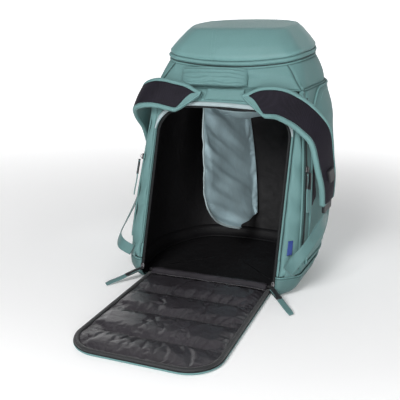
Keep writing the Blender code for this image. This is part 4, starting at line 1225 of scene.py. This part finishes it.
def make_mat_lining():
    """The quilted lining, puffed between its edge and its three sewn channels."""
    inset, base = 0.0088, 0.0082
    length = MAT_LENGTH - inset
    across, down = 96, 120
    seams = [share * MAT_LENGTH for share in MAT_SEAMS]
    rises = evenly(MAT_NEAR + 0.001, length, down)
    seam_rows = {min(range(down), key=lambda r: abs(rises[r] - seam)) for seam in seams}
    rows = []
    for r, rise in enumerate(rises):
        half = mat_half_at(rise, inset)
        row = []
        for k, u in enumerate(evenly(-1.0, 1.0, across)):
            near_seam = min([abs(rise - rises[q]) for q in seam_rows] + [rise - rises[0], length - rise])
            near_side = (1 - abs(u)) * half
            puff = 1 - math.exp(-min(near_seam, near_side) / 0.010)
            wander = 0.0030 * noise.noise(Vector((u * 4, rise * 5, 3.0))) * (1 - abs(u))
            x, y = u * half, HINGE.y - rise
            crease = noise.noise(Vector((x * 26, y * 42, 2.0)))
            crease += 0.6 * noise.noise(Vector((x * 60, y * 80, 6.0)))
            z = base + (0.0050 + 0.0016 * crease) * puff
            if r in seam_rows and 0 < k < across - 1:
                y += wander
            row.append(Vector((x, y, z)))
        rows.append(row[::-1])
    made = grid("mat_quilted_lining", rows, GLOSSY)
    held = {r * across + k for r in range(down) for k in range(across)
            if r in (0, down - 1) or r in seam_rows or k in (0, across - 1)}
    settle(made, held, 20, 0.0060, pressure=9.0, slack=0.035, bending=0.08)
    for vertex in made.data.vertices:
        vertex.co.z = min(max(vertex.co.z, base - 0.0006), 0.0178)
    thickened(made, 0.0010)
    smoothed(made)
    placed(made, "mat", ["mat_lining"])
    for q in sorted(seam_rows):
        line = [made.data.vertices[q * across + k].co + UP * 0.0012 for k in range(2, across - 2)]
        stitch("mat", line, UP, colour="black")


# ---- the lid ----
# rise above the rim, how far drawn in, how far shifted back, and slope, up the dome
LID_RINGS = [(0.000, 0.000, 0.000, 0.180), (0.008, 0.002, 0.002, 0.178), (0.026, 0.017, 0.014, 0.165),
             (0.046, 0.034, 0.032, 0.145), (0.055, 0.043, 0.041, 0.135), (0.058, 0.052, 0.050, 0.130)]
LID_LOW = 0.0148  # height of the dome's foot above the rim
LID_TAPE = flat_profile(0.0078, 0.0016)


def lid_point(step, column, out=0.0):
    """A point of the dome: step runs up through LID_RINGS, column round it."""
    k = min(int(step), len(LID_RINGS) - 2)
    t = step - k
    rise, drawn, shift, slope = [a + (b - a) * t for a, b in zip(LID_RINGS[k], LID_RINGS[k + 1])]
    half, seam, back, wide, far, far_y = section(RIM)[0]
    near = face_y(RIM)
    sizes = (half - drawn * 0.9, seam - drawn * 0.95, back, wide - drawn, far - drawn * 0.6, far_y)
    span = far_y + 0.010 - near
    squeeze = (span - shift - drawn * 0.6) / span
    p = moved_out(sizes, near, column, out)
    y = near + shift + (p.y - near) * squeeze
    point = Vector((p.x, y, RIM + LID_LOW + rise + slope * (y - near)))
    return crowned(point, near, 1.0, 1 - rise / LID_RINGS[-1][0])


def rim_point(rise, column, out=0.0):
    """A point just above the rim."""
    return on_body(RIM, column, out) + UP * rise


def around(step):
    """Columns right round the rim, a step apart, without the first again at the end."""
    return even_columns(0.0, COUNT - COUNT / 200, step, RIM)[0]


def make_lid():
    """The padded dome with its seam and edging, and the zip between it and the rim."""
    columns = around(0.0060)
    steps = [0.0, 0.35, 0.7, 1.0, 1.25, 1.5, 1.75, 2.0, 2.25, 2.5, 2.75, 3.0, 3.3, 3.6, 3.85,
             4.0, 4.25, 4.6, 5.0]

    def seam_x(s):
        """Where the sewn seam up the dome's front lies across it."""
        return -0.033 - 0.0030 * s

    rows = []
    for s in steps:
        row = []
        for c in columns:
            p = lid_point(s, c)
            front = min(c, COUNT - c) < 1.2
            groove = -0.0016 * math.exp(-((p.x - seam_x(s)) / 0.0016) ** 2) if front else 0.0
            out = groove - 0.0022 * math.exp(-s / 0.18)
            out += 0.0020 * math.sin(math.pi * min(1.0, s / 4.2)) * ease(s)
            out += relief(p, 0.09, 0.0014, 51.0) * ease(s / 0.6)
            row.append(p + away(p) * out)
        rows.append(row)
    centre = sum(rows[-1], Vector()) / len(rows[-1])
    for share in (0.04, 0.12, 0.26, 0.42, 0.58, 0.74, 0.88, 0.97):
        row = []
        for p in rows[len(steps) - 1]:
            q = p.lerp(centre, share)
            dome = 0.0030 * math.sin(math.pi / 2 * share)
            q.z += dome + relief(q, 0.07, 0.0010, 52.0) * min(1, share * 3)
            row.append(q)
        rows.append(row)
    made = grid("lid_cover", rows, LID_FABRIC_PAINTED_LIGHT, closed=True)
    total = len(rows) * len(columns)
    capped(made, [range(total - len(columns), total)])
    top_face = made.data.polygons[len(made.data.polygons) - 1]
    if top_face.normal.z < 0:
        top_face.flip()
    thickened(made, 0.0034)
    placed(made, "lid", ["lid_dome"])
    for offset in (-0.0042, 0.0042):
        line = []
        for s in evenly(0.3, 3.9, 30):
            x = seam_x(s) + offset
            column = COUNT - abs(x) / lid_point(s, 1.0).x
            p = lid_point(s, column)
            line.append(p + away(p) * 0.0022)
        stitch("lid", line, OUT_FACE)
    edge = [lid_point(4.35, c) + UP * 0.0006 for c in columns]
    stitch("lid", [p + away(p) * 0.0004 for p in edge], UP)
    fine = around(0.005)
    for name, rise, out, turned, profile, finish, body, slot, nodes in (
        ("lid_piping", 0.0100, -0.0013, True, oval(0.0092, 0.0088, 12), TRIM, "lid", "green_fabric",
         ["lid_welt"]),
        ("lid_tape", 0.0042, -0.0044, False, LID_TAPE, GREEN_TAPE, "lid", "zip_tape", ["lid_zip_tape"]),
        ("rim_tape", 0.0016, -0.0050, False, LID_TAPE, GREEN_TAPE, "bag", "zip_tape", ["rim_zip_tape"]),
        ("rim_zip_coil", 0.0030, -0.0020, False, SMALL_COIL, TAPE, "bag", "zip_tape", []),
        ("rim_piping", 0.0004, -0.0004, True, oval(0.0044, 0.0040, 10), FABRIC, "bag", "green_fabric", []),
    ):
        line = [rim_point(rise, c, out) for c in fine]
        trim(name, line, outwards(line) if turned else UP, profile, finish, nodes, body, True)


# ---- zips ----
def puller(name, nose, tail, normal, body, node, gripped):
    """A zip pull: a looped webbing tail, with a moulded grip over the gripped share of it."""
    along, out = tail - nose, normal.normalized()
    line = resampled(smooth_line([nose, nose.lerp(tail, 0.35), nose.lerp(tail, 0.7), tail], 8), 0.003)
    line = [p + out * 0.0006 * math.sin(9 * i / len(line)) for i, p in enumerate(line)]

    def tapered(share):
        return flat_profile(0.0128 - 0.0026 * ease((share - 0.9) / 0.1), 0.0028)

    trim(name + "_tail", line, out, tapered, WEB, [node], body)
    start, stop = nose - along.normalized() * 0.003, nose.lerp(tail, gripped)
    grip_line = resampled([start, stop], 0.0025)

    def grip(share):
        wide = 0.0112 + 0.0036 * ease(share / 0.35)
        wide -= 0.0034 * ease((share - 0.92) / 0.08)
        tall = 0.0054 + 0.0006 * math.sin(share * 40)
        return oval(wide, tall, 14)

    trim(name + "_grip", grip_line, out, grip, PLASTIC, body=body)


def slider_body(name, place, along, out, body, node):
    """A cast zip slider: a shield with a bridge over it."""
    along, out = along.normalized(), out.normalized()
    across = along.cross(out).normalized()
    out = across.cross(along)
    rows = [(-0.0068, 0.0028), (-0.0055, 0.0040), (-0.0020, 0.0044), (0.0020, 0.0046), (0.0052, 0.0036),
            (0.0066, 0.0020)]
    line = [place + along * t for t, _ in rows]

    def shield(share):
        half = rows[min(round(share * (len(rows) - 1)), len(rows) - 1)][1]
        return [(x, y + 0.0016) for x, y in flat_profile(half * 2, 0.0030, 0.0006)]

    trim(name, line, out, shield, METAL, [node], body)
    arc = [place + along * 0.0046 * math.cos(t) + out * (0.0030 + 0.0036 * math.sin(t))
           for t in evenly(0.0, math.pi, 13)]
    trim(name + "_bridge", arc, across, oval(0.0014, 0.0026, 8), METAL, body=body)


SIDE_SLIDER = 0.267  # heights at which the side zips' sliders and their pulls' ends lie
SIDE_PULL = (0.258, 0.178)


def out_at(level, column):
    """The direction straight out of the body at a place, not of unit length."""
    return on_body(level, column, 0.02) - on_body(level, column, 0.0)


def make_zips():
    """The zips' sliders and pulls, at the places where the frame has them."""
    for side, sign in (("right", 1), ("left", -1)):
        place = face_point(sign * 0.1555, 0.004, -0.0012)
        slider_body("main_slider_body_" + side, place, UP_FACE, OUT_FACE, "main_zip_slider_" + side,
                    "main_slider_" + side)
        nose = face_point(sign * 0.1575, -0.004, 0.0100)
        tail = Vector((sign * 0.214, HINGE.y - 0.088, 0.0022))
        puller("main_pull_" + side, nose, tail, Vector((0, -0.2, 1)), "main_zip_pull_" + side,
               "main_pull_" + side, 0.42)
        column = SEAM_MIDDLE if sign > 0 else COUNT - SEAM_MIDDLE
        place, normal = on_body(SIDE_SLIDER, column, 0.0038), out_at(SIDE_SLIDER, column)
        along = on_body(0.300, column) - on_body(0.240, column)
        slider_body("side_slider_body_" + side, place, along, normal, "side_zip_slider_" + side,
                    "side_slider_" + side)
        nose, tail = on_body(SIDE_PULL[0], column, 0.0120), on_body(SIDE_PULL[1], column, 0.0105)
        puller("side_pull_" + side, nose, tail, normal, "side_zip_pull_" + side, "side_pull_" + side, 0.40)
    column = 21.3  # the far slider's place along its zip
    place, normal = on_body(FAR_ZIP, column, 0.0028), out_at(FAR_ZIP, column)
    along = on_body(FAR_ZIP, 21.9) - on_body(FAR_ZIP, 21.1)
    slider_body("far_slider_body", place, along, normal, "far_zip_slider", "far_slider")
    nose = place + along.normalized() * 0.009 + normal.normalized() * 0.0060
    puller("far_pull", nose, nose + Vector((0, 0.0200, -0.060)), normal, "far_zip_pull", "far_pull", 0.42)


# ---- handle and straps ----
HANDLE_MIDDLE, HANDLE_HALF, HANDLE_LEVEL = -0.030, 0.080, 0.4545
HANDLE_TOP_REACH = 0.0178  # how far the band reaches above its middle, short of its hinge line


def make_handle():
    """The soft grab handle: a wide folded band, creased along its length, flat at its sewn ends."""
    rows = []
    for t in evenly(-1.0, 1.0, 70):
        bow = 0.0030 + 0.0205 * math.sqrt(max(0.0, 1 - t**2))
        wide = 0.036 + 0.010 * ease(3 * (1 - abs(t)))
        row = []
        for u in evenly(0.0, 1.0, 40):
            turn = 2 * math.pi * u
            across, out = math.cos(turn), math.sin(turn)
            front = out > 0
            squash = abs(out) ** 0.75 * (1 if front else -1)
            wander = 1.8 * noise.noise(Vector((t * 2.5, across * 2, 0.4)))
            creases = 0.0030 * math.sin(across * 12.5 + wander)
            creases *= ease((1 - abs(across)) * 4) * ease((1 - abs(t)) * 4) * (1 if front else 0.3)
            thick = 0.0022 + 0.0026 * (1 - t**2)
            x = HANDLE_MIDDLE + t * HANDLE_HALF
            reach = min(wide / 2, HANDLE_TOP_REACH) if across > 0 else wide / 2
            rise = rise_at(HANDLE_LEVEL) + across * reach
            lift = bow + squash * thick + creases * (1 if front else -1)
            p = face_point(x, rise, lift)
            row.append(p + OUT_FACE * relief(p, 0.03, 0.0008, 61.0))
        rows.append(row)
    made = placed(closed_rows("handle_band", rows, FABRIC), "grab_handle", ["grab_handle"])


ROOT = Vector((0.052, -0.0800, 0.401))  # the right strap's hinge line, from the yoke
ANCHOR = Vector((0.1860, -0.1820, 0.062))  # to the base's corner
STRAP_WIDTH, STRAP_THICK = 0.068, 0.011
STRAP_STEPS = 14  # points of the strap's course between two places of its path
# each strap's pad as (place, outward direction), and its webbing as places
RIGHT_STRAP = [
    (ROOT, (0.10, -0.93, 0.33)),
    ((0.121, -0.0900, 0.408), (0.14, -0.93, 0.34)),
    ((0.167, -0.1060, 0.396), (0.38, -0.85, 0.36)),
    ((0.204, -0.1170, 0.373), (0.62, -0.72, 0.32)),
    ((0.228, -0.1170, 0.344), (0.82, -0.55, 0.20)),
    ((0.238, -0.1070, 0.290), (0.92, -0.38, 0.08)),
    ((0.244, -0.0930, 0.245), (0.95, -0.30, 0.00)),
    ((0.243, -0.0790, 0.200), (0.96, -0.28, 0.00)),
]
LEFT_STRAP = [
    (Vector((-0.060, -0.0810, 0.404)), (-0.10, -0.93, 0.33)),
    ((-0.111, -0.0870, 0.412), (-0.10, -0.93, 0.34)),
    ((-0.157, -0.0930, 0.420), (-0.25, -0.88, 0.42)),
    ((-0.204, -0.0760, 0.409), (-0.66, -0.55, 0.50)),
    ((-0.234, -0.0200, 0.381), (-0.93, -0.20, 0.30)),
    ((-0.2415, 0.0300, 0.340), (-0.97, -0.08, 0.18)),
    ((-0.2455, 0.0600, 0.288), (-0.99, -0.04, 0.06)),
]
RIGHT_WEB = [(0.2400, -0.1180, 0.150), (0.2220, -0.1720, 0.116), (0.2000, -0.1860, 0.086)]
LEFT_WEB = [(-0.2460, 0.0300, 0.190), (-0.2480, -0.0350, 0.135), (-0.2440, -0.1000, 0.100),
            (-0.2340, -0.1520, 0.082), (-0.2140, -0.1790, 0.073)]


def heading(line, i):
    """The direction of a line at one of its points, from the points beside it."""
    return line[min(i + 1, len(line) - 1)] - line[max(i - 1, 0)]


def strap_course(path, axis, steps):
    """The strap's middle line with its across and outward directions, as in the frame."""
    middles = smooth_line([Vector(p) for p, _ in path], steps)
    normals = smooth_line([Vector(n) for _, n in path], steps)
    count = len(middles)
    acrosses, facing = [], []
    for i in range(count):
        across = heading(middles, i).cross(normals[i]).normalized()
        if across.z < 0 and i < 2 * steps / 5:
            across = -across
        if i and across.dot(acrosses[-1]) < 0:
            across = -across
        share = min(1.0, i * 5 / steps / 6)
        acrosses.append((axis * (1 - share) + across * share).normalized())
    for i in range(count):
        n = acrosses[i].cross(heading(middles, i)).normalized()
        facing.append(n if n.dot(normals[i]) > 0 else -n)
    return middles, acrosses, facing


def nearest_facing(middles, facing):
    """A function from a point to the strap's facing at the nearest place on its course."""
    return lambda p: facing[min(range(len(middles)), key=lambda k: (middles[k] - p).length_squared)]


def strap_edges(run, share):
    """Where a strap's upper and lower edge lie across it, from its run in metres and its share along.

    Its root tapers to a point at the yoke, mostly from below.
    """
    half = (STRAP_WIDTH - 0.014 * max(0.0, (share - 0.75) / 0.25)) / 2
    upper = half * (1 - 0.34 * (1 - ease(run / 0.055)) ** 1.5)
    lower = -half * (1 - 1.36 * (1 - min(1.0, run / 0.046)) ** 1.35)
    return upper, lower


def make_straps():
    """Each strap's pad with its mesh, edging, hem and webbing, and the tab where it is sewn on."""
    for side, sign, path, web_points in (("right", 1, RIGHT_STRAP, RIGHT_WEB),
                                         ("left", -1, LEFT_STRAP, LEFT_WEB)):
        root = Vector((sign * ROOT.x, ROOT.y, ROOT.z))
        anchor = Vector((sign * ANCHOR.x, ANCHOR.y, ANCHOR.z))
        axis = (root - anchor).normalized()
        middles, acrosses, facing = strap_course(path, axis, STRAP_STEPS)
        count = len(middles)
        last = count - 1
        runs = [0.0]
        for a, b in zip(middles, middles[1:]):
            runs.append(runs[-1] + (b - a).length)
        edges = [strap_edges(run, i / last) for i, run in enumerate(runs)]
        body = "strap_" + side
        half_thick = STRAP_THICK / 2
        rows = []
        for i in range(count):
            upper, lower = edges[i]
            middle, half = (upper + lower) / 2, max(0.001, (upper - lower) / 2 - 0.002)
            row = []
            for s in evenly(0.97, -0.97, 17):
                row.append((middle + s * half, (half_thick - 0.0006) * (1 - 0.35 * s**4)))
            for s in evenly(-0.97, 0.97, 17):
                row.append((middle + s * half, -half_thick * (1 - 0.30 * s**4)))
            row = [middles[i] + acrosses[i] * x + facing[i] * y for x, y in row]
            rows.append([p + facing[i] * relief(p, 0.03, 0.0007, 71.0) for p in row])
        made = closed_rows("strap_pad_" + side, rows, FABRIC)
        placed(made, body, ["shoulder_strap_" + side])
        make_strap_mesh(side, body, middles, acrosses, facing, edges, runs)
        for name, pick in (("upper", 0), ("lower", 1)):
            inward = 0.0040 if pick == 0 else -0.0040
            line = [middles[i] + acrosses[i] * (edges[i][pick] - inward) for i in range(count)]
            shape = oval(0.0112, STRAP_THICK + 0.0010, 14)
            rows = [[line[i] + acrosses[i] * x + facing[i] * y for x, y in shape] for i in range(count)]
            placed(closed_rows("strap_binding_%s_%s" % (name, side), rows, TRIM), body)
            row = [line[i] + facing[i] * (half_thick + 0.0004) - acrosses[i] * inward * 0.8
                   for i in range(4, count)]
            stitch(body, row, nearest_facing(middles, facing))
        upper, lower = edges[-1]
        end_line = [middles[-1] + acrosses[-1] * s for s in evenly(lower + 0.004, upper - 0.004, 12)]
        trim("strap_hem_" + side, end_line, facing[-1], oval(0.0110, STRAP_THICK + 0.0014, 12), TRIM,
             body=body)
        make_strap_web(side, sign, middles, facing, anchor, web_points, body)
        make_anchor(side, sign < 0)


def make_strap_mesh(side, body, middles, acrosses, facing, edges, runs):
    """The spacer mesh let into the strap's face, cut to a slanted point at the root."""
    rows = []
    for i in range(len(middles)):
        upper, lower = edges[i][0] - 0.0080, edges[i][1] + 0.0080
        slant = ease((runs[i] - 0.006) / 0.040)
        low = upper + (lower - upper) * slant
        if runs[i] < 0.006 or upper - low < 0.0004:
            continue
        row = []
        for s in evenly(0.0, 1.0, 17):
            x = low + (upper - low) * s
            crown = 0.0016 * 4 * s * (1 - s) * slant
            p = middles[i] + acrosses[i] * x + facing[i] * (STRAP_THICK / 2 + 0.0004 + crown)
            row.append(p + facing[i] * relief(p, 0.022, 0.0005, 73.0))
        rows.append(row)
    made = facing_front(grid("strap_mesh_panel_" + side, rows, MESH), facing[len(facing) // 3])
    thickened(made, 0.0016)
    placed(made, body, ["strap_mesh_" + side])


def make_strap_web(side, sign, middles, facing, anchor, web_points, body):
    """The flat webbing from under the pad's ladder lock down to its sewn end."""
    down = (middles[-1] - middles[-2]).normalized()
    start = middles[-1] + down * 0.0280
    line = [start] + smooth_line([start + down * 0.012] + [Vector(p) for p in web_points] + [anchor], 8)
    turned = OUT_FACE + Vector((0.9 * sign, 0, 0))
    turns = [facing[-1]] + [turned] * (len(web_points) - 1) + [OUT_FACE] * 2
    web_facing = [facing[-1]] + smooth_line(turns, 8)
    acrosses, rows = [], []
    for i, p in enumerate(line):
        along = heading(line, i)
        across = web_facing[i].cross(along).normalized()
        acrosses.append(across if i == 0 or across.dot(acrosses[-1]) > 0 else -across)
        n = acrosses[i].cross(along).normalized()
        n = n if n.dot(web_facing[i]) > 0 else -n
        rows.append([p + acrosses[i] * x + n * y for x, y in flat_profile(0.025, 0.0022)])
    made = closed_rows("strap_web_" + side, rows, WEB)
    placed(made, body, ["strap_webbing_" + side])


def make_anchor(side, left):
    """The folded webbing tab sewn on the strip where the strap's webbing ends."""
    rows = []
    for v in evenly(0.0, 1.0, 14):
        level = 0.0480 + 0.028 * v
        first, last = 3.06 + 0.10 * v, 3.98 - 0.36 * v
        row = []
        for u in evenly(0.0, 1.0, 12):
            edge = min(u, 1 - u, v, 1 - v)
            row.append(on_body(level, first + (last - first) * u, 0.0050 + 0.0010 * ease(edge * 6)))
        rows.append(sided_row(row, left))
    made = grid("strap_anchor_tab_" + side, rows, WEB, 0.0030)
    placed(made, "bag", ["strap_anchor_" + side])


def make_label():
    """A blank woven label folded over the strip's seam."""
    rows = []
    for v in evenly(0.0, 1.0, 16):
        row = []
        for u in evenly(0.0, 1.0, 12):
            edge = min(u * 2, (1 - u) * 2, v, 1 - v)
            lift = 0.0064 + 0.0007 * ease(edge * 8) + 0.0012 * (1 - u) ** 2
            row.append(on_body(0.093 + 0.030 * v, 3.0 + 0.48 * u, lift))
        rows.append(row)
    made = grid("side_label", rows, LABEL, 0.0016)
    placed(made, "bag", ["label_tab"])


def finish_hardware():
    """The moulded parts of the frame keep their shape and take a finished material."""
    for node in ("ladder_lock_right", "ladder_lock_left", "sternum_slider_right", "sternum_slider_left"):
        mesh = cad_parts[node].data
        mesh.materials.clear()
        mesh.materials.append(PLASTIC)


def make_stitches():
    """One piece for all the stitches of a colour on a body."""
    finishes = {"green": THREAD, "black": DARK_THREAD, "pale": PALE}
    for (body, colour), (points, faces) in STITCHES.items():
        name = "stitching_%s_%s" % (colour, body)
        made = mesh_piece(name, points, faces, finishes[colour], smooth=False)
        placed(made, body)


# ---- stage ----
def make_stage():
    """A white floor that curves up into a backdrop, and glows more away from the bag."""
    mesh = bpy.data.meshes.new("floor")
    near, far, bend, side, height = -3.0, 1.65, 0.9, 4.5, 4.0
    curve = [(far + bend * math.sin(t), bend * (1 - math.cos(t))) for t in evenly(0.0, math.pi / 2, 16)]
    profile = [(near, 0.0)] + curve + [(far + bend, height)]
    points = [(x, y, z - 0.0002) for y, z in profile for x in (-side, side)]
    faces = [(i * 2, i * 2 + 1, i * 2 + 3, i * 2 + 2) for i in range(len(profile) - 1)]
    mesh.from_pydata(points, [], faces)
    mesh.shade_smooth()
    n = Nodes("studio_floor", 0.85)
    n.colour(n.blend(n.noise(1.5, 2.0), (0.88, 0.88, 0.885), (0.92, 0.92, 0.925)))
    n.shader.inputs["Emission Color"].default_value = (1, 1, 1, 1)
    reach = n.add("VectorMath", {0: n.place}, operation="LENGTH").outputs["Value"]
    glow = n.span(reach, 0.55, 2.2, 0.12, 0.66)  # 0.12 within 0.55 m of the middle, 0.66 past 2.2 m
    n.tree.links.new(glow, n.shader.inputs["Emission Strength"])
    mesh.materials.append(n.material)
    floor = bpy.data.objects.new("floor", mesh)
    bpy.context.scene.collection.objects.link(floor)


def area_light(name, place, target, size, power):
    light = bpy.data.lights.new(name, "AREA")
    light.shape = "RECTANGLE"
    light.size, light.size_y = size
    light.energy = power
    lamp = bpy.data.objects.new(name, light)
    lamp.location = place
    lamp.rotation_euler = (Vector(target) - Vector(place)).to_track_quat("-Z", "Y").to_euler()
    bpy.context.scene.collection.objects.link(lamp)


def make_lights():
    """A key light in front, a low one for the mat and the base, and a faint one above."""
    world = bpy.data.worlds.new("studio")
    world.use_nodes = True
    world.node_tree.nodes["Background"].inputs["Color"].default_value = (1, 1, 1, 1)
    world.node_tree.nodes["Background"].inputs["Strength"].default_value = 0.06
    bpy.context.scene.world = world
    area_light("key", (-0.22, -2.35, 1.60), (0, 0, 0.28), (0.9, 0.9), 59)
    area_light("low_front", (0.95, -1.9, 0.34), (0.1, 0, 0.14), (0.6, 0.6), 16)
    area_light("top", (0.1, 0.5, 2.4), (0, 0, 0.3), (1.4, 1.0), 3)


CAMERA_PLACE = Vector((0.45326711, -1.39520498, 0.56565337))  # as worked out from the photo
CAMERA_TURN, CAMERA_DROP = 0.3686, 0.2735  # round from the front, and down from level, in radians
CAMERA_LENS, CAMERA_SENSOR = 55.575, 36  # in millimetres


def make_camera():
    """The photo's view point."""
    a, e = CAMERA_TURN, CAMERA_DROP
    back = Vector((math.sin(a) * math.cos(e), -math.cos(a) * math.cos(e), math.sin(e)))
    right = Vector((math.cos(a), math.sin(a), 0))
    camera = bpy.data.objects.new("camera", bpy.data.cameras.new("camera"))
    bpy.context.scene.collection.objects.link(camera)
    camera.data.lens = CAMERA_LENS
    camera.data.sensor_width = CAMERA_SENSOR
    camera.data.clip_start = 0.05
    turn = Matrix((right, back.cross(right), back)).transposed()
    camera.matrix_world = Matrix.Translation(CAMERA_PLACE) @ turn.to_4x4()
    bpy.context.scene.camera = camera


make_camera()
make_base()
make_base_lining()
make_floor()
make_sill()
make_face()
for side_name, is_left in (("right", False), ("left", True)):
    make_side(side_name, is_left)
    make_side_mesh(side_name, is_left)
make_far_side()
make_collar()
make_wall_lining()
make_ceiling()
make_divider()
make_mat()
make_lid()
make_zips()
make_handle()
make_straps()
make_label()
finish_hardware()
make_stitches()
make_stage()
make_lights()
bpy.context.scene.view_settings.view_transform = "Standard"
